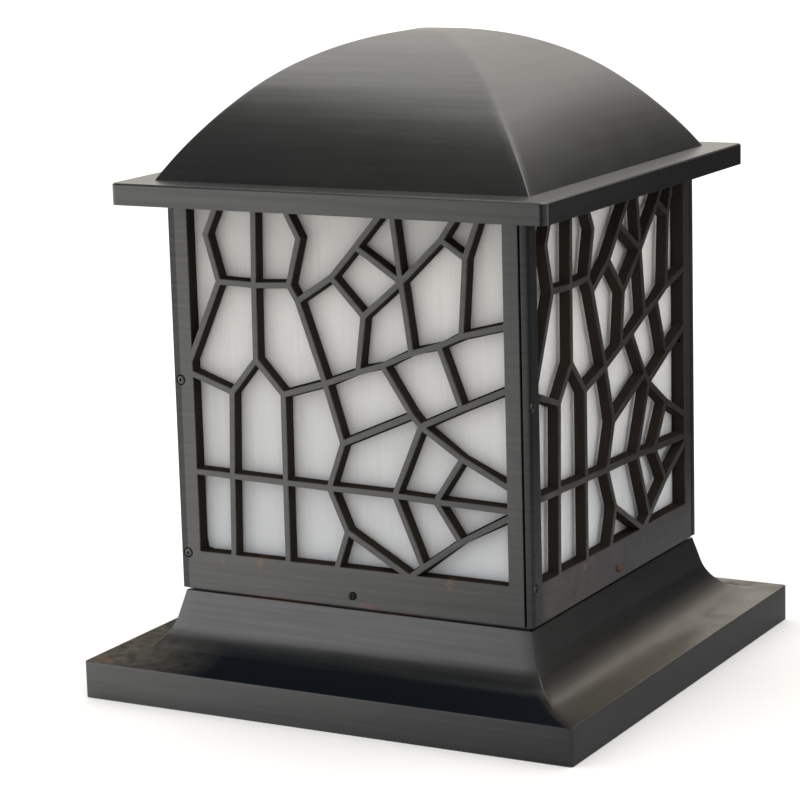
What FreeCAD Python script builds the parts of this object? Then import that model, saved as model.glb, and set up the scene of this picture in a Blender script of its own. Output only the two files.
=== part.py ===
import FreeCAD, Part
import Sketcher
import math
import os

# Post lantern: a square coved base, a cage of four cracked-ice grille panels with opal sheets
# behind them, and a domed roof that lifts off. Millimetres, +Z up. The origin is the middle of
# the base's underside, and the front panel faces -Y.

VALUES = {
    # base shell
    "plinth_width": 400.0,
    "plinth_height": 28.0,
    "plinth_corner_radius": 4.0,
    "plinth_ledge": 15.2,
    "base_setback": 1.5,
    "cove_lean_run": 5.0,
    "cove_lean_drop": 19.0,
    "base_height": 75.0,
    "shell_wall": 3.0,
    "base_flange_width": 33.5,
    # mounting plate and what clamps the base to it
    "mounting_plate_wall": 4.0,
    "mounting_plate_gap": 0.5,
    "anchor_spacing": 200.0,
    "anchor_hole_diameter": 11.0,
    "cable_opening_width": 150.0,
    "tie_rod_diameter": 6.0,
    "tie_rod_inset": 12.5,
    "tie_hole_clearance": 0.5,
    "tie_nut_width": 10.0,
    "tie_nut_height": 5.0,
    "tie_rod_proud": 3.0,
    # square upstand and gear tray inside the cage
    "upstand_height": 21.0,
    "upstand_wall": 3.0,
    "tray_gap": 2.5,
    "tray_wall": 3.0,
    # cage and its grille panels
    "cage_setback": 55.0,
    "cage_lift": 2.0,
    "panel_height": 299.0,
    "panel_wall": 5.0,
    "grille_depth": 11.0,
    "lap_gap": 1.5,
    "left_stile": 16.0,
    "right_stile": 12.0,
    "bottom_rail": 29.0,
    "top_rail": 13.0,
    "rim_wall": 4.5,
    "bar_width": 4.2,
    "bar_depth": 8.0,
    "lug_height": 12.0,
    # screws through the panels
    "corner_screw_inset": 5.3,
    "corner_screw_rise": 27.0,
    "corner_screw_pitch": 131.0,
    "screw_diameter": 3.5,
    "corner_screw_bite": 7.1,
    "screw_head_diameter": 6.2,
    "screw_head_height": 1.8,
    "screw_dimple_diameter": 7.6,
    "screw_dimple_depth": 1.4,
    "screw_clearance": 0.1,
    "rail_screw_rise": 8.5,
    "rail_screw_proud": 0.2,
    "rail_nut_width": 7.0,
    "rail_nut_height": 2.0,
    # opal sheets and the angles that hold their edges
    "sheet_wall": 3.0,
    "sheet_gap": 0.3,
    "sheet_lap": 4.5,
    "angle_leg": 12.0,
    "angle_wall": 2.0,
    # cage top frame and gasket
    "frame_wall": 2.0,
    "frame_ring_width": 19.0,
    "frame_flange_setback": 45.0,
    "frame_flange_drop": 8.0,
    "gasket_wall": 2.0,
    "gasket_inset": 1.0,
    "gasket_width": 12.0,
    # roof
    "eave_overhang": 29.5,
    "eave_drop": 16.0,
    "eave_wall": 3.0,
    "eave_corner_radius": 5.0,
    "eave_edge_chamfer": 1.2,
    "eave_opening_margin": 1.5,
    "eave_ledge": 23.5,
    "dome_wall": 2.5,
    "crown_setback": 51.0,
    "flank_radius": 271.9,
    "roof_tab_width": 40.0,
    "roof_tab_drop": 18.0,
    "roof_tab_foot": 12.0,
    "roof_tab_wall": 2.0,
    "roof_tab_gap": 0.5,
    # cable gland, turned on its own axis
    "gland_x": -56.0,
    "gland_y": 26.0,
    "gland_thread_diameter": 20.0,
    "gland_bore_diameter": 9.0,
    "gland_hex_width": 24.0,
    "gland_hex_height": 6.0,
    "gland_cap_diameter": 22.0,
    "gland_cap_height": 12.0,
    "gland_thread_proud": 8.0,
    "gland_nut_width": 26.0,
    "gland_nut_height": 5.0,
    # terminal block and earth stud
    "block_x": 62.0,
    "block_y": 0.0,
    "block_depth": 22.0,
    "block_length": 42.0,
    "block_height": 18.0,
    "block_pitch": 13.0,
    "block_entry_width": 4.2,
    "block_entry_depth": 6.0,
    "block_entry_rise": 8.0,
    "block_well_diameter": 6.0,
    "block_well_depth": 5.0,
    "block_screw_diameter": 4.6,
    "block_screw_height": 3.0,
    "earth_x": 62.0,
    "earth_y": -62.0,
    "earth_stud_diameter": 5.0,
    "earth_stud_height": 18.0,
    "earth_nut_width": 8.0,
    "earth_nut_height": 4.0,
    # lampholder and its bracket
    "bracket_width": 44.0,
    "bracket_wall": 2.0,
    "bracket_reach": 62.0,
    "bracket_back": 36.0,
    "bracket_height": 74.0,
    "bracket_bend_radius": 4.0,
    "bracket_hole_diameter": 22.0,
    "bracket_screw_pitch": 28.0,
    "bracket_screw_setback": 20.0,
    "holder_diameter": 42.0,
    "holder_neck_diameter": 36.0,
    "holder_height": 46.0,
    "holder_foot_height": 12.0,
    "holder_bore_clearance": 0.3,
    # leads from the terminal block to the lampholder
    "lead_diameter": 2.6,
    "lead_offset": 6.0,
    # bulb
    "cap_diameter": 26.4,
    "cap_height": 24.0,
    "cap_contact_diameter": 10.0,
    "cap_contact_height": 3.0,
    "cap_seat_gap": 0.3,
    "cap_proud": 1.0,
    "tube_diameter": 38.0,
    "tube_length": 84.0,
    "tube_neck": 6.0,
    "tube_wall": 1.2,
    # shared by every cut that has to run past its piece
    "overrun": 1.0,
}

# Places in the grille, as shares of the panel opening's width from its left edge and of its
# height from its bottom edge. The pattern is the traditional cracked-ice lattice.
LATTICE_SHARES = {
    "a_top": (0.094, 1.000), "a_knee": (0.060, 0.927), "a_waist": (0.098, 0.794), "a_left": (0.000, 0.578),
    "b_top": (0.221, 1.000), "b_waist": (0.215, 0.790), "b_tip": (0.212, 0.576),
    "c_top": (0.327, 1.000), "c_knee": (0.365, 0.929), "c_waist": (0.329, 0.796), "c_fork": (0.356, 0.753),
    "c_cross": (0.437, 0.524), "c_low": (0.488, 0.358),
    "e_bend": (0.467, 0.825), "e_peak": (0.547, 0.914), "e_top": (0.622, 1.000),
    "hub": (0.687, 0.824), "g_low": (0.566, 0.722), "i_low": (0.544, 0.564),
    "j_top": (0.665, 1.000), "j_low": (0.714, 0.628), "k_knee": (0.814, 0.946), "k_top": (0.852, 1.000),
    "l_end": (0.887, 0.899), "m_top": (0.925, 1.000), "m_low": (0.870, 0.685),
    "p_left": (0.299, 0.483), "p_mid": (0.622, 0.588), "p_right": (0.800, 0.654), "p_end": (1.000, 0.718),
    "q_left": (0.000, 0.522), "r_top": (0.129, 0.478), "r_mid": (0.120, 0.233), "r_foot": (0.114, 0.000),
    "s_mid": (0.297, 0.229), "s_foot": (0.296, 0.000),
    "t_left": (0.000, 0.236), "t_first": (0.440, 0.226), "t_second": (0.650, 0.223),
    "t_third": (0.779, 0.217), "t_right": (1.000, 0.211),
    "u_end": (0.711, 0.454), "v_knee": (0.738, 0.425), "x_end": (0.866, 0.484), "x_right": (1.000, 0.542),
    "z_knee": (0.864, 0.344), "z_right": (1.000, 0.278),
    "d_low": (0.734, 0.024), "d_foot": (0.700, 0.000), "d_knee": (0.854, 0.108), "d_right": (1.000, 0.188),
    "f_low": (0.494, 0.104), "f_foot": (0.677, 0.000), "h_foot": (0.458, 0.000),
}
LATTICE_LINES = [
    ["a_top", "a_knee", "a_waist", "a_left"],
    ["b_top", "b_waist", "b_tip"],
    ["c_top", "c_knee", "c_waist", "c_fork", "c_cross", "c_low", "t_first", "f_low", "f_foot"],
    ["a_waist", "b_waist", "c_waist"],
    ["c_fork", "e_bend", "e_peak", "e_top"],
    ["e_peak", "hub"],
    ["e_bend", "g_low", "hub"],
    ["g_low", "i_low"],
    ["j_top", "hub", "j_low"],
    ["hub", "k_knee", "k_top"],
    ["k_knee", "l_end"],
    ["m_top", "l_end", "m_low"],
    ["p_left", "c_cross", "i_low", "p_mid", "j_low", "p_right", "m_low", "p_end"],
    ["q_left", "r_top", "r_mid", "r_foot"],
    ["r_top", "b_tip", "p_left", "s_mid", "s_foot"],
    ["t_left", "r_mid", "s_mid", "t_first", "t_second", "t_third", "t_right"],
    ["c_low", "u_end"],
    ["p_mid", "u_end", "v_knee", "x_end", "x_right"],
    ["p_right", "x_end"],
    ["v_knee", "z_knee", "z_right"],
    ["v_knee", "t_second"],
    ["z_knee", "t_third"],
    ["t_second", "d_low"],
    ["t_third", "d_knee"],
    ["d_right", "d_knee", "d_low", "d_foot"],
    ["f_low", "h_foot"],
]

# Small screws, and the holes and bores that they pass through, are drawn with few sides, which
# line up wherever one runs through another.
SMALL_SIDES = 8
DIMPLE_SIDES = 12

SIDES = ("front", "right", "back", "left")
QUARTER_TURN = 90.0
Z_AXIS = FreeCAD.Vector(0, 0, 1)
INTO_CAGE = FreeCAD.Vector(0, 1, 0)

doc = FreeCAD.newDocument("post_lantern")
sheet = doc.addObject("Spreadsheet::Sheet", "sizes")
for row, (alias, value) in enumerate(VALUES.items(), start=1):
    sheet.set("A%d" % row, alias)
    sheet.set("B%d" % row, str(value))
    sheet.setAlias("B%d" % row, alias)
doc.recompute()


class Size:
    """A length that carries its number and the sheet formula that gives it."""

    def __init__(self, number, formula):
        self.number = number
        self.formula = formula

    def joined(self, other, sign, number):
        formula = other.formula if isinstance(other, Size) else repr(other)
        return Size(number, "(%s %s %s)" % (self.formula, sign, formula))

    def __add__(self, other):
        return self.joined(other, "+", self.number + plain(other))

    def __sub__(self, other):
        return self.joined(other, "-", self.number - plain(other))

    def __mul__(self, other):
        return self.joined(other, "*", self.number * plain(other))

    def __truediv__(self, other):
        return self.joined(other, "/", self.number / plain(other))

    def __neg__(self):
        return Size(-self.number, "(0 - %s)" % self.formula)


def plain(value):
    return value.number if isinstance(value, Size) else float(value)


def cell(alias):
    return Size(sheet.get(alias), "sizes." + alias)


def half(alias):
    return cell(alias) / 2


def root(size):
    return Size(math.sqrt(size.number), "sqrt(%s)" % size.formula)


ZERO = Size(0.0, "0")
OVERRUN = cell("overrun")


def bind(obj, prop, size):
    obj.setExpression(prop, size.formula)


# Building blocks


def place(obj, x, y, z):
    for axis, size in zip("xyz", (x, y, z)):
        bind(obj, "Placement.Base." + axis, size)
    return obj


def block(name, low, high):
    """A box between two corners."""
    obj = doc.addObject("Part::Box", name)
    for prop, start, end in zip(("Length", "Width", "Height"), low, high):
        bind(obj, prop, end - start)
    return place(obj, *low)


def square_block(name, side_half, low, high):
    """A box centred on the lantern's axis."""
    return block(name, (-side_half, -side_half, low), (side_half, side_half, high))


AXIS_TURNS = {
    "x": FreeCAD.Rotation(FreeCAD.Vector(0, 1, 0), QUARTER_TURN),
    "y": FreeCAD.Rotation(FreeCAD.Vector(1, 0, 0), -QUARTER_TURN),
    "z": FreeCAD.Rotation(),
}


def rod(name, radius, start, length):
    """A cylinder standing on start."""
    obj = doc.addObject("Part::Cylinder", name)
    bind(obj, "Radius", radius)
    bind(obj, "Height", length)
    return place(obj, *start)


def pin(name, radius, start, length, axis="z", sides=SMALL_SIDES):
    """A prism from start along +X, +Y or +Z, its corners at the radius."""
    obj = doc.addObject("Part::Prism", name)
    obj.Polygon = sides
    obj.Placement = FreeCAD.Placement(FreeCAD.Vector(), AXIS_TURNS[axis])
    bind(obj, "Circumradius", radius)
    bind(obj, "Height", length)
    return place(obj, *start)


def hexagon(name, flats, start, length):
    return pin(name, flats / root(Size(3.0, "3")), start, length, sides=6)


def fuse(name, *shapes):
    obj = doc.addObject("Part::MultiFuse", name)
    obj.Shapes = list(shapes)
    obj.Refine = True
    return obj


def cut(name, base, *tools):
    obj = doc.addObject("Part::Cut", name)
    obj.Base = base
    obj.Tool = tools[0] if len(tools) == 1 else fuse(name + "_tools", *tools)
    obj.Refine = True
    return obj


def link(name, source, turn=0.0, x=ZERO, y=ZERO, z=ZERO):
    """One more copy of a shape, turned about +Z and then moved."""
    obj = doc.addObject("App::Link", name)
    obj.LinkedObject = source
    obj.LinkTransform = True
    obj.Placement = FreeCAD.Placement(FreeCAD.Vector(), FreeCAD.Rotation(Z_AXIS, turn))
    return place(obj, x, y, z)


def group(name, shapes):
    obj = doc.addObject("Part::Compound", name)
    obj.Links = list(shapes)
    return obj


def four_turns(name, source):
    """The shape and its three copies, a quarter turn apart about the lantern's axis."""
    return [link("%s_%s" % (name, side), source, QUARTER_TURN * index) for index, side in enumerate(SIDES)]


def square_ring(name, outer_half, inner_half, low, high):
    return cut(name, square_block(name + "_outer", outer_half, low, high),
               square_block(name + "_inner", inner_half, low - OVERRUN, high + OVERRUN))


def draw_outline(sketch, path):
    """Draw a closed outline. Each entry is (point, centre): the centre of the arc that leads on
    from the point, or None for a straight run. Every corner and radius follows the sheet."""
    points = [point for point, centre in path]
    for index, (start, centre) in enumerate(path):
        end = points[(index + 1) % len(points)]
        first = FreeCAD.Vector(start[0].number, start[1].number, 0)
        last = FreeCAD.Vector(end[0].number, end[1].number, 0)
        if centre is None:
            sketch.addGeometry(Part.LineSegment(first, last), False)
            continue
        middle = FreeCAD.Vector(centre[0].number, centre[1].number, 0)
        outward = ((first + last) / 2 - middle).normalize()
        sketch.addGeometry(Part.Arc(first, middle + outward * (first - middle).Length, last), False)
    ends = [curve_ends(sketch, index, point) for index, point in enumerate(points)]
    for index, (start, centre) in enumerate(path):
        following = (index + 1) % len(points)
        hold_vertex(sketch, index, ends[index][0], start)
        sketch.addConstraint(Sketcher.Constraint("Coincident", index, ends[index][1],
                                                 following, ends[following][0]))
        if centre is not None:
            across = start[0] - centre[0]
            along = start[1] - centre[1]
            radius = root(across * across + along * along)
            added = sketch.addConstraint(Sketcher.Constraint("Radius", index, radius.number))
            follow_sheet(sketch, added, "radius%d" % index, radius)


def curve_ends(sketch, index, start):
    """The numbers of a curve's first and last vertex along the outline. An arc always runs
    anticlockwise in a sketch, so its own start can be either one."""
    begin = sketch.getPoint(index, 1)
    finish = sketch.getPoint(index, 2)
    here = FreeCAD.Vector(start[0].number, start[1].number, 0)
    return (1, 2) if (begin - here).Length <= (finish - here).Length else (2, 1)


def hold_vertex(sketch, index, end, point):
    for kind, axis, size in (("DistanceX", -2, point[0]), ("DistanceY", -1, point[1])):
        if size is ZERO:
            sketch.addConstraint(Sketcher.Constraint("PointOnObject", index, end, axis))
            continue
        added = sketch.addConstraint(Sketcher.Constraint(kind, -1, 1, index, end, size.number))
        follow_sheet(sketch, added, "%s%d" % (kind, index), size)


def follow_sheet(sketch, index, name, size):
    sketch.renameConstraint(index, name)
    bind(sketch, "Constraints." + name, size)


def straight(*points):
    return [(point, None) for point in points]


def rounded_square(side_half, radius):
    """The outline of a square with rounded corners, anticlockwise from its lower left corner."""
    inner = side_half - radius
    return [((-inner, -side_half), None), ((inner, -side_half), (inner, -inner)),
            ((side_half, -inner), None), ((side_half, inner), (inner, inner)),
            ((inner, side_half), None), ((-inner, side_half), (-inner, inner)),
            ((-side_half, inner), None), ((-side_half, -inner), (-inner, -inner))]


def pushed(name, path, length, upright=False):
    """An outline pushed up from its level, or, when upright, both ways from the XZ plane."""
    sketch = doc.addObject("Sketcher::SketchObject", name + "_outline")
    if upright:
        sketch.Placement = FreeCAD.Placement(FreeCAD.Vector(), AXIS_TURNS["y"].inverted())
    draw_outline(sketch, path)
    obj = doc.addObject("Part::Extrusion", name)
    obj.Base = sketch
    obj.DirMode = "Custom"
    obj.Dir = FreeCAD.Vector(0, 1, 0) if upright else Z_AXIS
    obj.Symmetric = upright
    obj.Solid = True
    bind(obj, "LengthFwd", length)
    return obj


def four_faced(name, path, width, *limits):
    """The solid whose every level is a square: an outline pushed along Y, the same pushed along X,
    and what the two have in common, within any limits given."""
    run = pushed(name + "_run", path, width, upright=True)
    obj = doc.addObject("Part::MultiCommon", name)
    obj.Shapes = [run, link(name + "_turned", run, QUARTER_TURN), *limits]
    return obj


def new_body(name, role, path):
    """A body with one sketch of the outline on an origin plane."""
    body = doc.addObject("PartDesign::Body", name)
    sketch = body.newObject("Sketcher::SketchObject", name + "_outline")
    plane = next(feature for feature in body.Origin.OriginFeatures if feature.Role == role)
    sketch.AttachmentSupport = (plane, [""])
    sketch.MapMode = "FlatFace"
    draw_outline(sketch, path)
    return body, sketch


def turned(name, path):
    """A round piece: half its section, radius then height, revolved about Z."""
    body, sketch = new_body(name, "XZ_Plane", path)
    feature = body.newObject("PartDesign::Revolution", name + "_turned")
    feature.Profile = sketch
    feature.ReferenceAxis = (sketch, ["V_Axis"])
    feature.Angle = 360.0
    body.Tip = feature
    return body


def padded(name, role, path, length, symmetric=False):
    body, sketch = new_body(name, role, path)
    feature = body.newObject("PartDesign::Pad", name + "_pad")
    feature.Profile = sketch
    feature.Midplane = symmetric
    bind(feature, "Length", length)
    body.Tip = feature
    return body


def screw(name, length):
    """A plain screw on the Z axis, its shank upward from zero and its head below."""
    tall = cell("screw_head_height")
    return fuse(name, pin(name + "_head", half("screw_head_diameter"), (ZERO, ZERO, -tall), tall),
                pin(name + "_shank", half("screw_diameter"), (ZERO, ZERO, ZERO), length))


def screw_hole(name, start, length, axis="z"):
    return pin(name, half("screw_diameter") + cell("screw_clearance"), start, length, axis)


# Levels from the ground up, and planes inwards from the cage's outside


CAGE = half("plinth_width") - cell("cage_setback")
COVE_TOP = CAGE - cell("base_setback")
BASE_TOP = cell("base_height")
TRAY_TOP = BASE_TOP + cell("tray_wall")
CAGE_BOTTOM = BASE_TOP + cell("cage_lift")
CAGE_TOP = CAGE_BOTTOM + cell("panel_height")
OPENING_BOTTOM = CAGE_BOTTOM + cell("bottom_rail")
OPENING_TOP = CAGE_TOP - cell("top_rail")
RAIL_BACK = CAGE - cell("panel_wall")
GRILLE_BACK = CAGE - cell("grille_depth")
SHEET_BACK = GRILLE_BACK - cell("sheet_wall")
UPSTAND_BACK = RAIL_BACK - cell("upstand_wall")
TRAY_EDGE = UPSTAND_BACK - cell("tray_gap")
TIE_REACH = TRAY_EDGE - cell("tie_rod_inset")
PANEL_END = RAIL_BACK - cell("lap_gap")
OPENING_LEFT = -CAGE + cell("left_stile")
OPENING_RIGHT = PANEL_END - cell("right_stile")
SCREW_LINE = CAGE - cell("corner_screw_inset")
LOWEST_SCREW = CAGE_BOTTOM + cell("corner_screw_rise")
SCREW_LEVELS = [LOWEST_SCREW + cell("corner_screw_pitch") * step for step in range(3)]
FRAME_OPENING = CAGE - cell("frame_ring_width")
FRAME_TOP = CAGE_TOP + cell("frame_wall")
ROOF_SEAT = FRAME_TOP + cell("gasket_wall")
EAVE_TOP = ROOF_SEAT + cell("eave_wall")
EAVE_BOTTOM = EAVE_TOP - cell("eave_drop")
EAVE = CAGE + cell("eave_overhang")
TAB_FACE = FRAME_OPENING - cell("roof_tab_gap")
DOME = EAVE - cell("eave_ledge")
RAIL_SCREW_LEVELS = (CAGE_BOTTOM + cell("rail_screw_rise"), CAGE_TOP - half("frame_flange_drop"))


# Base


def cove_outline(wall):
    """The base's section, drawn in by a wall. The cove leans out of its small top, then sweeps
    round an arc that ends level with the plinth's ledge."""
    run = cell("cove_lean_run")
    drop = cell("cove_lean_drop")
    plinth = half("plinth_width") - wall
    ledge = cell("plinth_height") - wall
    foot = (half("plinth_width") - cell("plinth_ledge"), ledge)
    across = foot[0] - COVE_TOP - run
    up = BASE_TOP - drop - cell("plinth_height")
    radius = (across * across + up * up) / up / 2
    centre = (foot[0], cell("plinth_height") + radius)
    growth = (radius + wall) / radius
    bend = (centre[0] - across * growth, centre[1] - (radius - up) * growth)
    top = (bend[0] - (BASE_TOP - wall - bend[1]) * run / drop, BASE_TOP - wall)
    mirror = (-centre[0], centre[1])
    return [((plinth, ZERO), None), ((plinth, ledge), None), (foot, centre), (bend, None), (top, None),
            ((-top[0], top[1]), None), ((-bend[0], bend[1]), mirror), ((-foot[0], foot[1]), None),
            ((-plinth, ledge), None), ((-plinth, ZERO), None)]


def base_shell():
    width = cell("plinth_width")
    corners = pushed("base_corners", rounded_square(width / 2, cell("plinth_corner_radius")), BASE_TOP)
    outside = four_faced("base_outside", cove_outline(ZERO), width, corners)
    inside = four_faced("base_inside", cove_outline(cell("shell_wall")), width)
    opening = square_block("base_opening", COVE_TOP - cell("base_flange_width"), ZERO, BASE_TOP + OVERRUN)
    ties = tie_holes("base", BASE_TOP - cell("shell_wall"), BASE_TOP)
    return cut("base_shell", outside, inside, opening, *ties)


def corners_at(reach):
    return [(reach, reach), (-reach, reach), (-reach, -reach), (reach, -reach)]


def tie_holes(name, low, high):
    radius = half("tie_rod_diameter") + cell("tie_hole_clearance")
    return [pin("%s_tie_hole%d" % (name, index), radius, (x, y, low - OVERRUN), high - low + OVERRUN * 2)
            for index, (x, y) in enumerate(corners_at(TIE_REACH))]


def mounting_plate():
    side = half("plinth_width") - cell("shell_wall") - cell("mounting_plate_gap")
    high = cell("mounting_plate_wall")
    through = high + OVERRUN * 2
    holes = [rod("anchor_hole%d" % index, half("anchor_hole_diameter"), (x, y, -OVERRUN), through)
             for index, (x, y) in enumerate(corners_at(half("anchor_spacing")))]
    holes.append(square_block("cable_opening", half("cable_opening_width"), -OVERRUN, high + OVERRUN))
    return cut("mounting_plate", square_block("mounting_plate_blank", side, ZERO, high), *holes)


def tie_rods():
    low = cell("mounting_plate_wall")
    high = TRAY_TOP + cell("tie_nut_height") + cell("tie_rod_proud")
    return group("tie_rods", [pin("tie_rod%d" % index, half("tie_rod_diameter"), (x, y, low), high - low)
                              for index, (x, y) in enumerate(corners_at(TIE_REACH))])


def nut(name, flats, height, bore, x, y, low, hole_form=pin):
    blank = hexagon(name + "_blank", flats, (x, y, low), height)
    hole = hole_form(name + "_bore", bore, (x, y, low - OVERRUN), height + OVERRUN * 2)
    return cut(name, blank, hole)


def tie_nuts():
    flats = cell("tie_nut_width")
    bore = half("tie_rod_diameter") + cell("screw_clearance")
    return group("tie_nuts", [nut("tie_nut%d" % index, flats, cell("tie_nut_height"), bore, x, y, TRAY_TOP)
                              for index, (x, y) in enumerate(corners_at(TIE_REACH))])


def base_upstand():
    holes = four_turns("upstand_screw_hole", rail_screw_hole("upstand_hole", RAIL_SCREW_LEVELS[0]))
    ring = square_ring("upstand_ring", RAIL_BACK, UPSTAND_BACK, BASE_TOP, BASE_TOP + cell("upstand_height"))
    return cut("base_upstand", ring, *holes)


# Gear tray and what stands on it


def gear_tray():
    low = BASE_TOP - OVERRUN
    through = cell("tray_wall") + OVERRUN * 2
    bore = half("gland_thread_diameter") + cell("screw_clearance")
    gland = rod("tray_gland_hole", bore, (cell("gland_x"), cell("gland_y"), low), through)
    screws = [screw_hole("tray_screw_hole%d" % index, (x, y, low), through)
              for index, (x, y) in enumerate(bracket_screw_places())]
    return cut("gear_tray", square_block("gear_tray_blank", TRAY_EDGE, BASE_TOP, TRAY_TOP),
               gland, *screws, *tie_holes("tray", BASE_TOP, TRAY_TOP))


def cable_gland():
    x = cell("gland_x")
    y = cell("gland_y")
    hexagon_low = BASE_TOP - cell("gland_hex_height")
    cap_low = hexagon_low - cell("gland_cap_height")
    top = TRAY_TOP + cell("gland_thread_proud")
    body = fuse("gland_blank",
                rod("gland_cap", half("gland_cap_diameter"), (x, y, cap_low), cell("gland_cap_height")),
                hexagon("gland_hex", cell("gland_hex_width"), (x, y, hexagon_low), cell("gland_hex_height")),
                rod("gland_thread", half("gland_thread_diameter"), (x, y, BASE_TOP), top - BASE_TOP))
    through = top - cap_low + OVERRUN * 2
    bore = rod("gland_bore", half("gland_bore_diameter"), (x, y, cap_low - OVERRUN), through)
    return cut("cable_gland", body, bore)


def gland_locknut():
    bore = half("gland_thread_diameter") + cell("screw_clearance")
    return nut("gland_locknut", cell("gland_nut_width"), cell("gland_nut_height"), bore,
               cell("gland_x"), cell("gland_y"), TRAY_TOP, rod)


BLOCK_ROWS = [cell("block_y") + cell("block_pitch") * step for step in (-1, 0, 1)]
BLOCK_FRONT = cell("block_x") - half("block_depth")
BLOCK_BACK = cell("block_x") + half("block_depth")
ENTRY_LEVEL = TRAY_TOP + cell("block_entry_rise")


def terminal_block():
    long_half = half("block_length")
    top = TRAY_TOP + cell("block_height")
    blank = block("terminal_blank", (BLOCK_FRONT, cell("block_y") - long_half, TRAY_TOP),
                  (BLOCK_BACK, cell("block_y") + long_half, top))
    depth = cell("block_entry_depth")
    gap = half("block_entry_width")
    holes = []
    for index, y in enumerate(BLOCK_ROWS):
        for side, start, end in (("front", BLOCK_FRONT - OVERRUN, BLOCK_FRONT + depth),
                                 ("back", BLOCK_BACK - depth, BLOCK_BACK + OVERRUN)):
            holes.append(block("entry_%s%d" % (side, index), (start, y - gap, ENTRY_LEVEL - gap),
                               (end, y + gap, ENTRY_LEVEL + gap)))
        well = cell("block_well_depth")
        holes.append(pin("well%d" % index, half("block_well_diameter"), (cell("block_x"), y, top - well),
                         well + OVERRUN))
    return cut("terminal_block", blank, *holes)


def terminal_screws():
    low = TRAY_TOP + cell("block_height") - cell("block_well_depth")
    return group("terminal_screws", [pin("terminal_screw%d" % index, half("block_screw_diameter"),
                                         (cell("block_x"), y, low), cell("block_screw_height"))
                                     for index, y in enumerate(BLOCK_ROWS)])


def earth_stud():
    return group("earth_stud", [pin("earth_rod", half("earth_stud_diameter"),
                                    (cell("earth_x"), cell("earth_y"), TRAY_TOP), cell("earth_stud_height"))])


def earth_nut():
    bore = half("earth_stud_diameter") + cell("screw_clearance")
    return nut("earth_nut", cell("earth_nut_width"), cell("earth_nut_height"), bore,
               cell("earth_x"), cell("earth_y"), TRAY_TOP)


# Lampholder, its bracket and leads


SHELF_TOP = TRAY_TOP + cell("bracket_height")
SHELF_BOTTOM = SHELF_TOP - cell("bracket_wall")
FOOT_TOP = TRAY_TOP + cell("bracket_wall")
HOLDER_TOP = SHELF_TOP + cell("holder_height")
CAP_TOP = HOLDER_TOP + cell("cap_proud")
CAP_LOW = CAP_TOP - cell("cap_height")
CAP_SEAT = CAP_LOW - cell("cap_contact_height")


def bracket_screw_places():
    x = cell("bracket_screw_setback") - cell("bracket_back")
    reach = half("bracket_screw_pitch")
    return [(x, -reach), (x, reach)]


def holder_screw_places():
    reach = half("bracket_screw_pitch") + cell("bracket_wall")
    return [(ZERO, -reach), (ZERO, reach)]


def lampholder_bracket():
    """A strip bent into a channel that opens towards +X: foot, back and shelf."""
    back = -cell("bracket_back")
    end = back + cell("bracket_reach")
    wall = cell("bracket_wall")
    bend = cell("bracket_bend_radius")
    low = (back + bend, TRAY_TOP + bend)
    high = (back + bend, SHELF_TOP - bend)
    path = [((end, TRAY_TOP), None), ((back + bend, TRAY_TOP), low), ((back, TRAY_TOP + bend), None),
            ((back, SHELF_TOP - bend), high), ((back + bend, SHELF_TOP), None), ((end, SHELF_TOP), None),
            ((end, SHELF_BOTTOM), None), ((back + bend, SHELF_BOTTOM), high),
            ((back + wall, SHELF_TOP - bend), None), ((back + wall, TRAY_TOP + bend), low),
            ((back + bend, FOOT_TOP), None), ((end, FOOT_TOP), None)]
    strip = padded("bracket_strip", "XZ_Plane", path, cell("bracket_width"), symmetric=True)
    through = wall + OVERRUN * 2
    holes = [rod("lead_hole", half("bracket_hole_diameter"), (ZERO, ZERO, SHELF_BOTTOM - OVERRUN), through)]
    holes += [screw_hole("foot_hole%d" % index, (x, y, TRAY_TOP - OVERRUN), through)
              for index, (x, y) in enumerate(bracket_screw_places())]
    holes += [screw_hole("shelf_hole%d" % index, (x, y, SHELF_BOTTOM - OVERRUN), through)
              for index, (x, y) in enumerate(holder_screw_places())]
    return cut("lampholder_bracket", strip, *holes)


def bracket_screws():
    """Two screws down through the foot and the tray, and two up through the shelf into the holder."""
    length = cell("holder_foot_height") - cell("bracket_wall")
    source = screw("bracket_screw", length)
    made = [link("holder_screw%d" % index, source, 0.0, x, y, SHELF_BOTTOM)
            for index, (x, y) in enumerate(holder_screw_places())]
    for index, (x, y) in enumerate(bracket_screw_places()):
        turned_over = link("foot_screw%d" % index, source, 0.0, x, y, FOOT_TOP)
        turned_over.Placement.Rotation = FreeCAD.Rotation(FreeCAD.Vector(1, 0, 0), 2 * QUARTER_TURN)
        made.append(turned_over)
    return group("bracket_screws", made)


def lampholder():
    outer = half("holder_diameter")
    neck = half("holder_neck_diameter")
    bore = half("cap_diameter") + cell("holder_bore_clearance")
    foot = SHELF_TOP + cell("holder_foot_height")
    top = HOLDER_TOP
    floor = CAP_SEAT - cell("cap_seat_gap")
    body = turned("lampholder_blank",
                  straight((ZERO, SHELF_TOP), (outer, SHELF_TOP), (outer, foot), (neck, foot), (neck, top),
                           (bore, top), (bore, floor), (ZERO, floor)))
    holes = [screw_hole("holder_hole%d" % index, (x, y, SHELF_TOP - OVERRUN), cell("holder_foot_height"))
             for index, (x, y) in enumerate(holder_screw_places())]
    return cut("lampholder", body, *holes)


LEAD_SIDES = 6
LEAD_ROUTE_SHARES = [(0.0, 0.0, 0.0), (0.45, 0.0, 0.0), (0.92, 0.57, 0.21), (1.0, 1.0, 0.64), (1.0, 1.0, 1.0)]
LEAD_ARC_SHARE = 0.45


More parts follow.
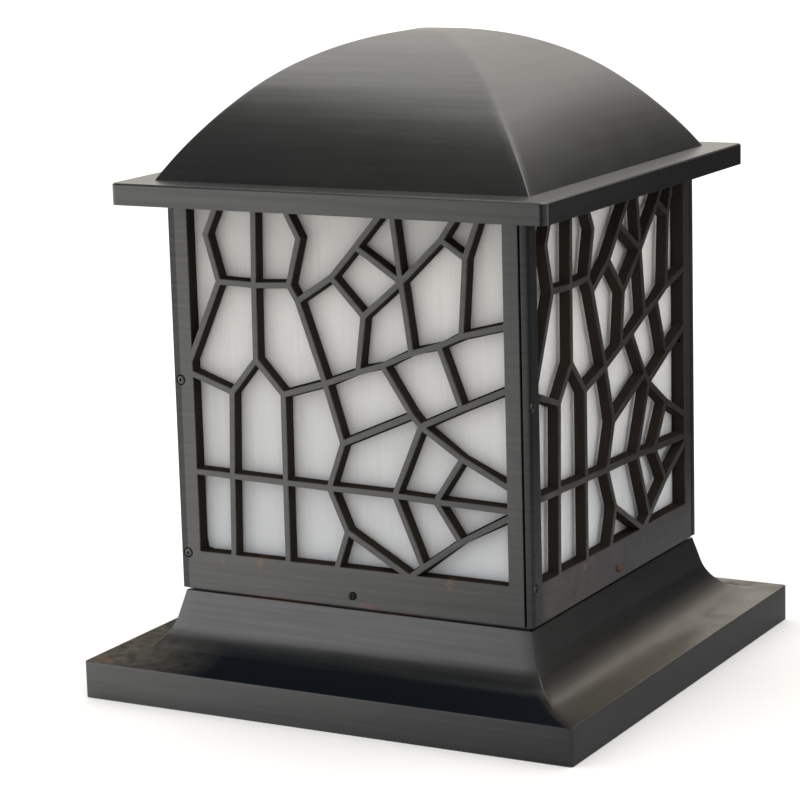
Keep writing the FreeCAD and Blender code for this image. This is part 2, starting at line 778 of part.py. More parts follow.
def lead(name, start, end):
    """A lead along straight runs joined by tangent arcs, its round section drawn with few sides."""
    spans = [last - first for first, last in zip(start, end)]
    points = [FreeCAD.Vector(*[first + span * share for first, span, share in zip(start, spans, shares)])
              for shares in LEAD_ROUTE_SHARES]
    edges = []
    here = points[0]
    for before, corner, after in zip(points, points[1:], points[2:]):
        arriving = (corner - before).normalize()
        leaving = (after - corner).normalize()
        half_turn = arriving.getAngle(leaving) / 2
        setback = LEAD_ARC_SHARE * min((corner - before).Length, (after - corner).Length)
        radius = setback / math.tan(half_turn)
        print("%s bend radius %.1f mm" % (name, radius))
        first = corner - arriving * setback
        last = corner + leaving * setback
        inward = (leaving - arriving).normalize()
        middle = corner + inward * (radius / math.cos(half_turn) - radius)
        edges.append(Part.LineSegment(here, first).toShape())
        edges.append(Part.Arc(first, middle, last).toShape())
        here = last
    edges.append(Part.LineSegment(here, points[-1]).toShape())
    path = Part.Wire(edges)
    radius = cell("lead_diameter").number / 2
    side = Z_AXIS * radius
    ring = [points[0] + FreeCAD.Rotation(points[1] - points[0], turn * 360.0 / LEAD_SIDES).multVec(side)
            for turn in range(LEAD_SIDES)]
    section = Part.makePolygon(ring + ring[:1])
    tube = path.makePipeShell([section], True, False)
    print("%s length %.1f mm, volume over section times length %.4f"
          % (name, path.Length, tube.Volume / (Part.Face(section).Area * path.Length)))
    obj = doc.addObject("Part::Feature", name)
    obj.Shape = tube
    return obj


def lamp_leads():
    inner = BLOCK_FRONT + cell("block_entry_depth")
    made = []
    for name, y, side in (("live_lead", BLOCK_ROWS[0], -1), ("neutral_lead", BLOCK_ROWS[2], 1)):
        offset = cell("lead_offset").number
        made.append(lead(name, (inner.number, y.number, ENTRY_LEVEL.number),
                         (offset, side * offset, SHELF_TOP.number)))
    return group("lamp_leads", made)


# Bulb


def bulb_cap():
    """The screw cap: its shell and the small contact under it."""
    outer = half("cap_diameter")
    contact = half("cap_contact_diameter")
    return turned("bulb_cap", straight((ZERO, CAP_SEAT), (contact, CAP_SEAT), (contact, CAP_LOW),
                                       (outer, CAP_LOW), (outer, CAP_TOP), (ZERO, CAP_TOP)))


def bulb_tube():
    """A tubular opal lamp: a short neck on the cap and a wider straight tube."""
    return cut("bulb_tube", turned("tube_outside", tube_outline(ZERO)),
               turned("tube_inside", tube_outline(cell("tube_wall"))))


def tube_outline(wall):
    neck = half("cap_diameter") - wall
    tube = half("tube_diameter") - wall
    low = CAP_TOP + wall
    shoulder = low + cell("tube_neck")
    top = CAP_TOP + cell("tube_length") - wall
    return straight((ZERO, low), (neck, low), (neck, shoulder), (tube, shoulder), (tube, top), (ZERO, top))


# Cage


RAIL_GRIP = cell("panel_wall") + cell("upstand_wall")
RAIL_SCREW_LENGTH = RAIL_GRIP + cell("rail_nut_height") + cell("rail_screw_proud")


def rail_screw_hole(name, level):
    return screw_hole(name, (ZERO, -CAGE - OVERRUN, level), RAIL_SCREW_LENGTH + OVERRUN * 2, "y")


def lattice():
    """The cracked-ice bars in the front opening: each line of places is a mitred strip, and the
    strips together are one sheet as thick as the bars are deep, which leaves the diffuser clear of them."""
    corner = FreeCAD.Vector(OPENING_LEFT.number, -CAGE.number, OPENING_BOTTOM.number)
    across = FreeCAD.Vector((OPENING_RIGHT - OPENING_LEFT).number, 0, 0)
    up = Z_AXIS * (OPENING_TOP - OPENING_BOTTOM).number
    spots = {name: corner + across * along + up * rise for name, (along, rise) in LATTICE_SHARES.items()}
    bar = cell("bar_width").number
    strips = []
    for line in LATTICE_LINES:
        places = [spots[name] for name in line]
        if on_border(line[0]):
            places[0] += (places[0] - places[1]).normalize() * bar
        if on_border(line[-1]):
            places[-1] += (places[-1] - places[-2]).normalize() * bar
        strips.append(strip(places, bar / 2))
    sheet_face = strips[0].multiFuse(strips[1:]).removeSplitter()
    obj = doc.addObject("Part::Feature", "lattice")
    obj.Shape = sheet_face.extrude(INTO_CAGE * cell("bar_depth").number)
    return obj


def on_border(name):
    along, rise = LATTICE_SHARES[name]
    return along in (0.0, 1.0) or rise in (0.0, 1.0)


def strip(places, reach):
    """A flat strip that reaches as far to both sides of a line of places, mitred at each turn."""
    runs = [(last - first).normalize() for first, last in zip(places, places[1:])]
    sides = [run.cross(INTO_CAGE) for run in runs]
    offsets = [sides[0] * reach]
    for before, after in zip(sides, sides[1:]):
        offsets.append((before + after) * (reach / (1 + before.dot(after))))
    offsets.append(sides[-1] * reach)
    edge = [place + offset for place, offset in zip(places, offsets)]
    edge += [place - offset for place, offset in zip(places[::-1], offsets[::-1])]
    return Part.Face(Part.makePolygon(edge + edge[:1]))


def panel_source():
    """The front panel: a flat frame with a deeper rim round its opening, the bars, lugs behind the
    right stile for the next panel's screws, and a dimpled hole for each screw of its own."""
    front = -CAGE
    back = -RAIL_BACK
    deep = -GRILLE_BACK
    rim = cell("rim_wall")
    plate = cut("panel_plate",
                block("panel_blank", (-CAGE, front, CAGE_BOTTOM), (PANEL_END, back, CAGE_TOP)),
                block("panel_opening", (OPENING_LEFT, front - OVERRUN, OPENING_BOTTOM),
                      (OPENING_RIGHT, back + OVERRUN, OPENING_TOP)))
    ring = cut("panel_rim",
               block("rim_blank", (OPENING_LEFT - rim, front, OPENING_BOTTOM - rim),
                     (OPENING_RIGHT + rim, deep, OPENING_TOP + rim)),
               block("rim_opening", (OPENING_LEFT, front - OVERRUN, OPENING_BOTTOM),
                     (OPENING_RIGHT, deep + OVERRUN, OPENING_TOP)))
    lug = half("lug_height")
    lugs = [block("lug%d" % index, (OPENING_RIGHT, front, level - lug), (PANEL_END, deep, level + lug))
            for index, level in enumerate(SCREW_LEVELS)]
    holes = [rail_screw_hole("rail_hole%d" % index, level) for index, level in enumerate(RAIL_SCREW_LEVELS)]
    for index, level in enumerate(SCREW_LEVELS):
        outside = (-SCREW_LINE, front - OVERRUN, level)
        holes.append(screw_hole("stile_hole%d" % index, outside, cell("panel_wall") + OVERRUN * 2, "y"))
        holes.append(pin("stile_dimple%d" % index, half("screw_dimple_diameter"), outside,
                         cell("screw_dimple_depth") + OVERRUN, "y", DIMPLE_SIDES))
        holes.append(screw_hole("lug_hole%d" % index, (OPENING_RIGHT, -SCREW_LINE, level),
                                cell("right_stile") + OVERRUN, "x"))
    return cut("panel_pattern", fuse("panel_frame", plate, ring, *lugs, lattice()), *holes)


def panels():
    source = panel_source()
    return [group("panel_" + side, [link("panel_copy_" + side, source, QUARTER_TURN * index)])
            for index, side in enumerate(SIDES)]


def diffusers():
    """Opal sheets that stand on the tray against the grilles' backs, lapped like the panels."""
    gap = cell("sheet_gap")
    source = block("diffuser_pattern", (-GRILLE_BACK + gap, -GRILLE_BACK, TRAY_TOP),
                   (SHEET_BACK - gap, -SHEET_BACK, OPENING_TOP + cell("sheet_lap")))
    return [group("diffuser_" + side, [link("diffuser_copy_" + side, source, QUARTER_TURN * index)])
            for index, side in enumerate(SIDES)]


def corner_angles():
    """An angle in each corner, from the tray to the top frame, that holds two sheets' edges."""
    leg = cell("angle_leg")
    wall = cell("angle_wall")
    corner = -SHEET_BACK
    source = fuse("angle_pattern",
                  block("angle_leg_x", (corner, corner, TRAY_TOP), (corner + leg, corner + wall, CAGE_TOP)),
                  block("angle_leg_y", (corner, corner, TRAY_TOP), (corner + wall, corner + leg, CAGE_TOP)))
    return group("corner_angles", four_turns("corner_angle", source))


def laid_screw(name, source, x, depth, level):
    """A screw laid along +Y into the front panel."""
    obj = link(name, source, 0.0, x, depth - CAGE, level)
    obj.Placement.Rotation = FreeCAD.Rotation(FreeCAD.Vector(1, 0, 0), -QUARTER_TURN)
    return obj


def corner_screws():
    sunk = cell("screw_dimple_depth")
    source = screw("corner_screw", cell("panel_wall") - sunk + cell("lap_gap") + cell("corner_screw_bite"))
    front = [laid_screw("stile_screw%d" % index, source, -SCREW_LINE, sunk, level)
             for index, level in enumerate(SCREW_LEVELS)]
    return group("corner_screws", four_turns("corner_screws", group("corner_screw_row", front)))


def rail_screws():
    source = screw("rail_screw", RAIL_SCREW_LENGTH)
    front = [laid_screw("rail_screw_at%d" % index, source, ZERO, ZERO, level)
             for index, level in enumerate(RAIL_SCREW_LEVELS)]
    return group("rail_screws", four_turns("rail_screws", group("rail_screw_pair", front)))


def rail_nuts():
    """A nut behind the upstand for each lower screw, and one behind the frame's flange for each
    upper one."""
    tall = cell("rail_nut_height")
    bore = half("screw_diameter") + cell("screw_clearance")
    pattern = nut("rail_nut_pattern", cell("rail_nut_width"), tall, bore, ZERO, ZERO, ZERO)
    seats = (UPSTAND_BACK, RAIL_BACK - cell("frame_wall"))
    front = []
    for index, (seat, level) in enumerate(zip(seats, RAIL_SCREW_LEVELS)):
        laid = link("rail_nut_at%d" % index, pattern, 0.0, ZERO, -seat, level)
        laid.Placement.Rotation = FreeCAD.Rotation(FreeCAD.Vector(1, 0, 0), -QUARTER_TURN)
        front.append(laid)
    return group("rail_nuts", four_turns("rail_nuts", group("rail_nut_pair", front)))


def cage_top_frame():
    """A flat ring over the panels with a flange turned down behind each top rail."""
    ring = square_ring("frame_ring", CAGE - cell("gasket_inset"), FRAME_OPENING, CAGE_TOP, FRAME_TOP)
    reach = CAGE - cell("frame_flange_setback")
    flange = block("frame_flange", (-reach, -RAIL_BACK, CAGE_TOP - cell("frame_flange_drop")),
                   (reach, -RAIL_BACK + cell("frame_wall"), FRAME_TOP))
    drilled = cut("frame_flange_drilled", flange, rail_screw_hole("frame_hole", RAIL_SCREW_LEVELS[1]))
    return fuse("cage_top_frame", ring, *four_turns("frame_flange", drilled))


def roof_gasket():
    outer = CAGE - cell("gasket_inset")
    return square_ring("roof_gasket", outer, outer - cell("gasket_width"), FRAME_TOP, ROOF_SEAT)


# Roof


def roof_eave():
    """A shallow square pan turned over: narrow fascia, flat ledge, rounded outer corners."""
    pan = padded("eave_pan", "XY_Plane", rounded_square(EAVE, cell("eave_corner_radius")), cell("eave_drop"))
    doc.recompute()
    body_pad = pan.Tip
    rim = ["Edge%d" % (index + 1) for index, edge in enumerate(body_pad.Shape.Edges)
           if edge.BoundBox.ZMin > cell("eave_drop").number - cell("eave_wall").number]
    bevelled = pan.newObject("PartDesign::Chamfer", "eave_edge")
    bevelled.Base = (body_pad, rim)
    bind(bevelled, "Size", cell("eave_edge_chamfer"))
    pan.Tip = bevelled
    place(pan, ZERO, ZERO, EAVE_BOTTOM)
    hollow = square_block("eave_hollow", EAVE - cell("eave_wall"), EAVE_BOTTOM - OVERRUN, ROOF_SEAT)
    clear = TAB_FACE - cell("roof_tab_foot") - cell("eave_opening_margin")
    opening = square_block("eave_opening", clear, EAVE_BOTTOM, EAVE_TOP + OVERRUN)
    return cut("roof_eave", pan, hollow, opening)


CROWN_SHARE = 1.5


def dome_outline(wall):
    """The roof's section, drawn in by a wall: a wide crown arc, its radius a share of its own half
    width, that runs on at a tangent into a flatter arc down each flank to the eave."""
    reach = DOME - cell("crown_setback")
    crown = reach * CROWN_SHARE
    flank = cell("flank_radius")
    out = reach / crown
    up = root(Size(1.0, "1") - out * out)
    span = DOME - reach + flank * out
    flank_centre = (DOME - span, EAVE_TOP - root(flank * flank - span * span))
    join = (reach, flank_centre[1] + up * flank)
    crown_centre = (ZERO, join[1] - up * crown)
    level = EAVE_TOP - flank_centre[1]
    foot = (flank_centre[0] + root((flank - wall) * (flank - wall) - level * level), EAVE_TOP)
    inner_join = (join[0] - out * wall, join[1] - up * wall)
    crest = (ZERO, crown_centre[1] + crown - wall)
    mirror = (-flank_centre[0], flank_centre[1])
    return [(foot, flank_centre), (inner_join, crown_centre), (crest, crown_centre),
            ((-inner_join[0], inner_join[1]), mirror), ((-foot[0], foot[1]), None)]


def roof_dome():
    outside = four_faced("dome_outside", dome_outline(ZERO), DOME * 2)
    inside = four_faced("dome_inside", dome_outline(cell("dome_wall")), DOME * 2)
    return cut("roof_dome", outside, inside)


def roof_tabs():
    """Four bent tabs under the eave that drop inside the cage's top frame."""
    outer = TAB_FACE
    wide = half("roof_tab_width")
    wall = cell("roof_tab_wall")
    source = fuse("roof_tab_pattern",
                  block("roof_tab_leg", (-wide, -outer, ROOF_SEAT - cell("roof_tab_drop")),
                        (wide, -outer + wall, ROOF_SEAT)),
                  block("roof_tab_foot", (-wide, -outer, ROOF_SEAT - wall),
                        (wide, -outer + cell("roof_tab_foot"), ROOF_SEAT)))
    return group("roof_tabs", four_turns("roof_tab", source))


nodes = [
    base_shell(), mounting_plate(), tie_rods(), tie_nuts(), base_upstand(),
    gear_tray(), cable_gland(), gland_locknut(), terminal_block(), terminal_screws(),
    earth_stud(), earth_nut(), lampholder_bracket(), bracket_screws(), lampholder(), lamp_leads(),
    bulb_cap(), bulb_tube(),
    *panels(), *diffusers(), corner_angles(), corner_screws(), rail_screws(), rail_nuts(),
    cage_top_frame(), roof_gasket(), roof_eave(), roof_dome(), roof_tabs(),
]
doc.recompute()

for obj in doc.Objects:
    if "Invalid" in obj.State or "Error" in obj.State:
        raise RuntimeError("%s did not compute: %s" % (obj.Name, obj.State))

os.makedirs("parts", exist_ok=True)
for node in nodes:
    shape = node.Shape
    if shape.isNull() or not shape.isValid() or not shape.Solids:
        raise RuntimeError("%s has no valid solid" % node.Label)
    print("%-20s %2d solids %10.0f mm3" % (node.Label, len(shape.Solids), shape.Volume))
    shape.exportStep("parts/%s.step" % node.Label)
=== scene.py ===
import math
import random

import bmesh
import bpy
from mathutils import Matrix, Vector, noise


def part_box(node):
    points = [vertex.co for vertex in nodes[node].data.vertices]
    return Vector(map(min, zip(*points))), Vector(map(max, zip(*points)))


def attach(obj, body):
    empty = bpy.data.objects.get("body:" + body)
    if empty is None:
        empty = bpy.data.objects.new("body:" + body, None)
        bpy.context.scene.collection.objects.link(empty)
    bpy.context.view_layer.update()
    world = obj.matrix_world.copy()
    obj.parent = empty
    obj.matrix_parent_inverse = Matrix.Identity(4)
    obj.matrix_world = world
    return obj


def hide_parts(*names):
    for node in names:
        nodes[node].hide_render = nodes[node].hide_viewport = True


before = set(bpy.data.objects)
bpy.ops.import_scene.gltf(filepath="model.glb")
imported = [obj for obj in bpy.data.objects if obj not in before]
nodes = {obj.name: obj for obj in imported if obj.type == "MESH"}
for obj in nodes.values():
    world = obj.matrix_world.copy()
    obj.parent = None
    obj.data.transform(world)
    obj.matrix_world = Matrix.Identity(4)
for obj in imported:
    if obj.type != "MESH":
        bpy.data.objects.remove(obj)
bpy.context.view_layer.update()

MM = 0.001
SIDES = ("front", "right", "back", "left")
SEED = 7
random.seed(SEED)


# Sizes that the pieces take from the frame, in metres


def top_of(node):
    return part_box(node)[1].z


def bottom_of(node):
    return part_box(node)[0].z


def reach_of(node):
    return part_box(node)[1].x


PLINTH = reach_of("base_shell")
BASE_TOP = top_of("base_shell")
CAGE = -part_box("panel_front")[0].y
CAGE_BOTTOM = bottom_of("panel_front")
CAGE_TOP = top_of("panel_front")
EAVE_BOTTOM = bottom_of("roof_eave")
EAVE_TOP = top_of("roof_eave")
DOME = reach_of("roof_dome")
DOME_TOP = top_of("roof_dome")

# The base's section
PLINTH_HEIGHT = 28 * MM
PLINTH_LEDGE = 15.2 * MM
PLINTH_CORNER = 2.5 * MM
BASE_SETBACK = 1.5 * MM
COVE_TOP = CAGE - BASE_SETBACK
COVE_LEAN_RUN = 5 * MM
COVE_LEAN_DROP = 19 * MM
COVE_CORNER = 0.6 * MM
COVE_STEPS = 24
INNER_COVE_STEPS = 12
SHELL_WALL = 3 * MM
BASE_FLANGE = 33.5 * MM
FOOT_SOFTENING = 0.5 * MM
EDGE_SOFTENING = 0.8 * MM
BASE_SIDE_STEPS = 24

# The roof's section
CROWN_SHARE = 1.5
CROWN_SETBACK = 51 * MM
CROWN_STEPS = 40
FLANK_RADIUS = 271.9 * MM
FLANK_STEPS = 24
DOME_WALL = 2.5 * MM
DOME_SIDE_STEPS = 40
CREST_FLAT = 0.4 * MM
HIP_FOOT = 0.6 * MM
HIP_TOP = 4.6 * MM
RIPPLE_HEIGHT = 0.22 * MM
RIPPLE_SCALE = 26
RIPPLE_START = 2 * MM
EAVE_BEVEL = 0.18 * MM

# The grilles' bars, which are wider at the back so that the casting leaves its mould
BAR_DEPTH = 8 * MM
BAR_DRAFT = 1.4 * MM
RIM_BEHIND_BARS = 0.5 * MM
NEAR_BACK = 0.05 * MM
# A face is a wall where the cosine of its normal to the outward direction is no more than this
WALL_LEAN = 0.1
# Faces whose normals' cosine is over this belong to one wall
SAME_WALL = 0.999
# Two walls make a corner where the squared sine between their normals is over this
CORNER_ROOM = 0.02

# Screws. The shank's radius and the slots' lengths are shares of the head's radius.
HEAD_HEIGHT = 1.8 * MM
SHANK_SHARE = 3.5 / 6.2
SLOT_WIDTH = 0.9 * MM
SLOT_DEPTH = 0.9 * MM
SLOT_SHARE = 1.5
RECESS_WIDTH = 1.3 * MM
RECESS_DEPTH = 1.3 * MM
RECESS_SHARE = 0.95
SCREW_SIDES = 28
LARGEST_TWIST = 0.2
# A pan head's section: (share of its radius, share of its height below its top)
PAN_HEAD = [(1.0, 1.0), (1.0, 0.55), (0.93, 0.28), (0.72, 0.08), (0.4, 0.0), (0.0, 0.0)]
# A screw's point: (share of the shank's radius, shanks above its end)
POINT = [(0.0, 0.0), (0.3, 0.0), (1.0, 1.5)]

# The lamp's cap
CONTACT_TIP = 3.6 * MM
CONTACT_RADIUS = 5 * MM
CONTACT_EDGE = 1 * MM
CONTACT_HEIGHT = 3 * MM
INSULATOR_RADIUS = 9.5 * MM
INSULATOR_HEIGHT = 2 * MM
CAP_DRAWN_IN = 1.6 * MM
THREAD_START = 3 * MM
THREAD_PITCH = 3.6 * MM
THREAD_DEPTH = 0.55 * MM
THREAD_INSET = 0.2 * MM
THREAD_RUNOUT = 1 * MM
THREAD_STEPS = 48
SKIRT_HEIGHT = 4 * MM
SKIRT_EDGE = 0.5 * MM
TURNED_SIDES = 64

# The lamp's tube and its holder
TUBE_NECK = 3 * MM
TUBE_WALL = 1.2 * MM
TUBE_CROWN = 12 * MM
SHOULDER_STEPS = 8
TUBE_CROWN_STEPS = 12
HOLDER_BEVEL = 0.6 * MM
HOLDER_BEVEL_STEPS = 3

# Meshes in general
BEVEL = 0.45 * MM
BEVEL_STEPS = 2
ARC_STEPS = 6
WELD = 0.002 * MM
ROUNDEST_CORNER = 0.98
SMOOTH_ANGLE = math.radians(32)
DOME_SMOOTH_ANGLE = math.radians(50)
LEAD_SMOOTHING = 2


# Meshes


def new_piece(name, bm, smooth=True):
    mesh = bpy.data.meshes.new(name)
    bm.to_mesh(mesh)
    bm.free()
    piece = bpy.data.objects.new(name, mesh)
    bpy.context.scene.collection.objects.link(piece)
    if smooth:
        mesh.shade_smooth()
    return piece


def finish_piece(piece, material, body, slot_name, *replaced):
    piece.data.materials.clear()
    piece.data.materials.append(material)
    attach(piece, body)
    if replaced:
        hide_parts(*replaced)
    return piece


def welded(node):
    """A frame node's mesh with the points that lie together made one."""
    bm = bmesh.new()
    bm.from_mesh(nodes[node].data)
    bmesh.ops.remove_doubles(bm, verts=bm.verts, dist=WELD)
    return bm


def arc_points(centre, start, end, steps):
    """Points on the shorter arc about a centre, from start to end, both included."""
    first = math.atan2(start[1] - centre[1], start[0] - centre[0])
    sweep = math.atan2(end[1] - centre[1], end[0] - centre[0]) - first
    sweep = (sweep + math.pi) % (2 * math.pi) - math.pi
    radius = math.dist(centre, start)
    angles = [first + sweep * step / steps for step in range(steps + 1)]
    return [(centre[0] + radius * math.cos(angle), centre[1] + radius * math.sin(angle)) for angle in angles]


def softened(outline, corners):
    """The outline with a small quarter bend in place of each corner named, by its index and setback."""
    made = []
    for index, point in enumerate(outline):
        if index not in corners:
            made.append(point)
            continue
        here = Vector(point)
        before = (Vector(outline[index - 1]) - here).normalized() * corners[index]
        after = (Vector(outline[(index + 1) % len(outline)]) - here).normalized() * corners[index]
        for step in range(ARC_STEPS + 1):
            share = step / ARC_STEPS
            bend = before * (1 - share) ** 2 + after * share ** 2
            made.append(tuple(here + bend))
    return made


def square_ring(half, height, radius, side_steps):
    """One level of a square shell: its corners rounded, its sides divided, anticlockwise."""
    radius = min(radius, half * ROUNDEST_CORNER)
    inner = half - radius
    ring = []
    for quarter in range(4):
        turn = Matrix.Rotation(quarter * math.pi / 2, 3, "Z")
        for step in range(side_steps):
            across = -inner + 2 * inner * step / side_steps
            ring.append(turn @ Vector((half, across, height)))
        for step in range(ARC_STEPS):
            angle = math.pi / 2 * step / ARC_STEPS
            corner = (inner + radius * math.cos(angle), inner + radius * math.sin(angle), height)
            ring.append(turn @ Vector(corner))
    return ring


def lofted(name, levels, corner, side_steps, closed=False):
    """A shell through square levels of (half width, height). The corner radius is a function of
    both. A closed shell joins its last level to its first; an open one is capped."""
    bm = bmesh.new()
    rings = []
    for half, height in levels:
        ring = square_ring(half, height, corner(half, height), side_steps)
        rings.append([bm.verts.new(point) for point in ring])
    pairs = list(zip(rings, rings[1:]))
    if closed:
        pairs.append((rings[-1], rings[0]))
    for lower, upper in pairs:
        for index in range(len(lower)):
            following = (index + 1) % len(lower)
            bm.faces.new((lower[index], lower[following], upper[following], upper[index]))
    if not closed:
        bm.faces.new(rings[0][::-1])
        bm.faces.new(rings[-1])
    bmesh.ops.recalc_face_normals(bm, faces=bm.faces)
    return new_piece(name, bm)


def sharpen(piece, angle=SMOOTH_ANGLE):
    """Smooth shading that stays crisp across edges sharper than the angle."""
    bm = bmesh.new()
    bm.from_mesh(piece.data)
    for edge in bm.edges:
        edge.smooth = edge.calc_face_angle(0) < angle
    bm.to_mesh(piece.data)
    bm.free()
    return piece


def apply_modifiers(piece):
    depsgraph = bpy.context.evaluated_depsgraph_get()
    mesh = bpy.data.meshes.new_from_object(piece.evaluated_get(depsgraph))
    old = piece.data
    piece.modifiers.clear()
    piece.data = mesh
    bpy.data.meshes.remove(old)
    mesh.name = piece.name
    return piece


def rebuilt(node, name, width=BEVEL, segments=BEVEL_STEPS, reshape=None):
    """A copy of a frame node with its sharp edges eased and its flat faces shaded flat."""
    bm = welded(node)
    if reshape:
        reshape(bm)
    piece = new_piece(name, bm)
    ease = piece.modifiers.new("ease", "BEVEL")
    ease.width = width
    ease.segments = segments
    ease.limit_method = "ANGLE"
    ease.angle_limit = SMOOTH_ANGLE
    ease.use_clamp_overlap = False
    flatten = piece.modifiers.new("flatten", "WEIGHTED_NORMAL")
    flatten.mode = "FACE_AREA"
    flatten.weight = 100
    return apply_modifiers(piece)


def smoothed(node, name):
    """A frame node's tube with its facets rounded off."""
    piece = new_piece(name, welded(node))
    soften = piece.modifiers.new("soften", "SUBSURF")
    soften.levels = LEAD_SMOOTHING
    return apply_modifiers(piece)


# Materials


# The share of a spot's reach over which it is whole
SPOT_CORE = 0.25


class Shader:
    """A principled material whose node graph is put together a step at a time."""

    def __init__(self, name):
        self.material = bpy.data.materials.new(name)
        self.material.use_nodes = True
        self.tree = self.material.node_tree
        self.surface = self.tree.nodes["Principled BSDF"]
        self.place = self.tree.nodes.new("ShaderNodeTexCoord").outputs["Object"]

    def set(self, **values):
        for key, value in values.items():
            self.surface.inputs[key.replace("_", " ")].default_value = value
        return self

    def link(self, source, target):
        self.tree.links.new(source, target)

    def feed(self, **sources):
        for key, source in sources.items():
            self.link(source, self.surface.inputs[key.replace("_", " ")])
        return self

    def stretched(self, scale):
        mapping = self.tree.nodes.new("ShaderNodeMapping")
        mapping.inputs["Scale"].default_value = scale
        self.link(self.place, mapping.inputs["Vector"])
        return mapping.outputs["Vector"]

    def noise(self, scale, detail=4.0, roughness=0.55, stretch=(1, 1, 1)):
        node = self.tree.nodes.new("ShaderNodeTexNoise")
        node.inputs["Scale"].default_value = scale
        node.inputs["Detail"].default_value = detail
        node.inputs["Roughness"].default_value = roughness
        self.link(self.stretched(stretch), node.inputs["Vector"])
        return node.outputs["Fac"]

    def cells(self, scale):
        node = self.tree.nodes.new("ShaderNodeTexVoronoi")
        node.inputs["Scale"].default_value = scale
        self.link(self.place, node.inputs["Vector"])
        return node.outputs["Color"]

    def spread(self, source, low, high, start=0.0, end=1.0):
        """The source's values from low to high, mapped to start and end and held there beyond."""
        node = self.tree.nodes.new("ShaderNodeMapRange")
        node.inputs["From Min"].default_value = low
        node.inputs["From Max"].default_value = high
        node.inputs["To Min"].default_value = start
        node.inputs["To Max"].default_value = end
        self.link(source, node.inputs["Value"])
        return node.outputs["Result"]

    def above(self, source, level, fade):
        """One where the source is over the level, falling to zero over the fade under it."""
        return self.spread(source, level - fade, level)

    def below(self, source, level, fade):
        """Zero where the source is over the level, rising to one over the fade under it."""
        return self.spread(source, level - fade, level, 1.0, 0.0)

    def math(self, operation, *values):
        node = self.tree.nodes.new("ShaderNodeMath")
        node.operation = operation
        for socket, value in zip(node.inputs, values):
            if isinstance(value, (int, float)):
                socket.default_value = value
            else:
                self.link(value, socket)
        return node.outputs["Value"]

    def chain(self, operation, values):
        result = values[0]
        for value in values[1:]:
            result = self.math(operation, result, value)
        return result

    def product(self, *values):
        return self.chain("MULTIPLY", values)

    def total(self, *values):
        return self.chain("ADD", values)

    def largest(self, *values):
        return self.chain("MAXIMUM", values)

    def mix(self, share, first, second):
        node = self.tree.nodes.new("ShaderNodeMix")
        node.data_type = "RGBA"
        self.link(share, node.inputs["Factor"])
        for socket, value in ((node.inputs[6], first), (node.inputs[7], second)):
            if isinstance(value, tuple):
                socket.default_value = (*value, 1.0)
            else:
                self.link(value, socket)
        return node.outputs[2]

    def axis(self, name, source=None):
        node = self.tree.nodes.new("ShaderNodeSeparateXYZ")
        self.link(source or self.place, node.inputs["Vector"])
        return node.outputs[name]

    def facing(self):
        return self.tree.nodes.new("ShaderNodeNewGeometry").outputs["Normal"]

    def bump(self, height, distance, strength):
        node = self.tree.nodes.new("ShaderNodeBump")
        node.inputs["Strength"].default_value = strength
        node.inputs["Distance"].default_value = distance
        self.link(height, node.inputs["Height"])
        self.link(node.outputs["Normal"], self.surface.inputs["Normal"])
        return self

    def spot(self, centre, reach):
        """One about the centre, falling to zero at the reach along each axis."""
        vector = self.place
        for operation, value in (("SUBTRACT", centre), ("DIVIDE", reach)):
            node = self.tree.nodes.new("ShaderNodeVectorMath")
            node.operation = operation
            self.link(vector, node.inputs[0])
            node.inputs[1].default_value = value
            vector = node.outputs["Vector"]
        length = self.tree.nodes.new("ShaderNodeVectorMath")
        length.operation = "LENGTH"
        self.link(vector, length.inputs[0])
        return self.spread(length.outputs["Value"], SPOT_CORE, 1.0, 1.0, 0.0)


PAINT_DARK = (0.0026, 0.0038, 0.0040)
PAINT_WARM = (0.0060, 0.0058, 0.0050)
# Painted shade: the dull brown of the walls inside the grilles' openings
PAINT_REVEAL_SHADE = (0.0200, 0.0160, 0.0132)
PAINT_WORN = (0.056, 0.046, 0.040)
GRIME = (0.0060, 0.0078, 0.0100)
DUST = (0.090, 0.083, 0.068)
# Painted reflection: the warm brown-grey of the base's upward faces low on the right and back
WARM_REFLECTION_TINT = (0.104, 0.092, 0.075)
RUST = (0.165, 0.050, 0.018)

# The paint's patterns: cells per metre, detail, roughness and, for some, the stretch along each axis
DRIFT = (9.0, 3.0)
SMUDGES = (34.0, 5.0, 0.6)
WEAR_PATCHES = (75.0, 5.0, 0.65)
DUST_PATCHES = (110.0, 4.0, 0.65)
RUST_GRAIN = (420.0, 6.0, 0.7)
BRUSH_LINES = (9.0, 1.0, 0.4, (1, 1, 50))
BRUSH_BANDS = (7.0, 2.0, 0.5, (1, 1, 42))
ORANGE_PEEL = (420.0, 1.0)
SAGS = (60.0, 2.0, 0.5, (1, 1, 2.2))

# Where rust has run on the lantern: (middle, reach)
RUST_PLACES = [
    ((-0.1095, -CAGE, CAGE_BOTTOM + 0.0235), (0.0025, 0.02, 0.0035)),
    ((-0.0775, -CAGE, CAGE_BOTTOM + 0.0250), (0.0036, 0.02, 0.0070)),
    ((0.0795, -CAGE, CAGE_BOTTOM + 0.0250), (0.0045, 0.02, 0.0065)),
    ((0.0370, -CAGE, CAGE_BOTTOM - 0.0010), (0.0300, 0.02, 0.0022)),
    ((0.0110, -CAGE, CAGE_BOTTOM + 0.0015), (0.0100, 0.02, 0.0030)),
    ((-0.0600, -CAGE, CAGE_BOTTOM - 0.0010), (0.0450, 0.02, 0.0030)),
    ((-0.1880, -0.1900, PLINTH_HEIGHT), (0.0100, 0.0060, 0.0060)),
    ((CAGE, 0.0000, CAGE_BOTTOM + 0.0075), (0.02, 0.0060, 0.0060)),
    ((CAGE, -0.0590, CAGE_BOTTOM + 0.0235), (0.02, 0.0040, 0.0055)),
]

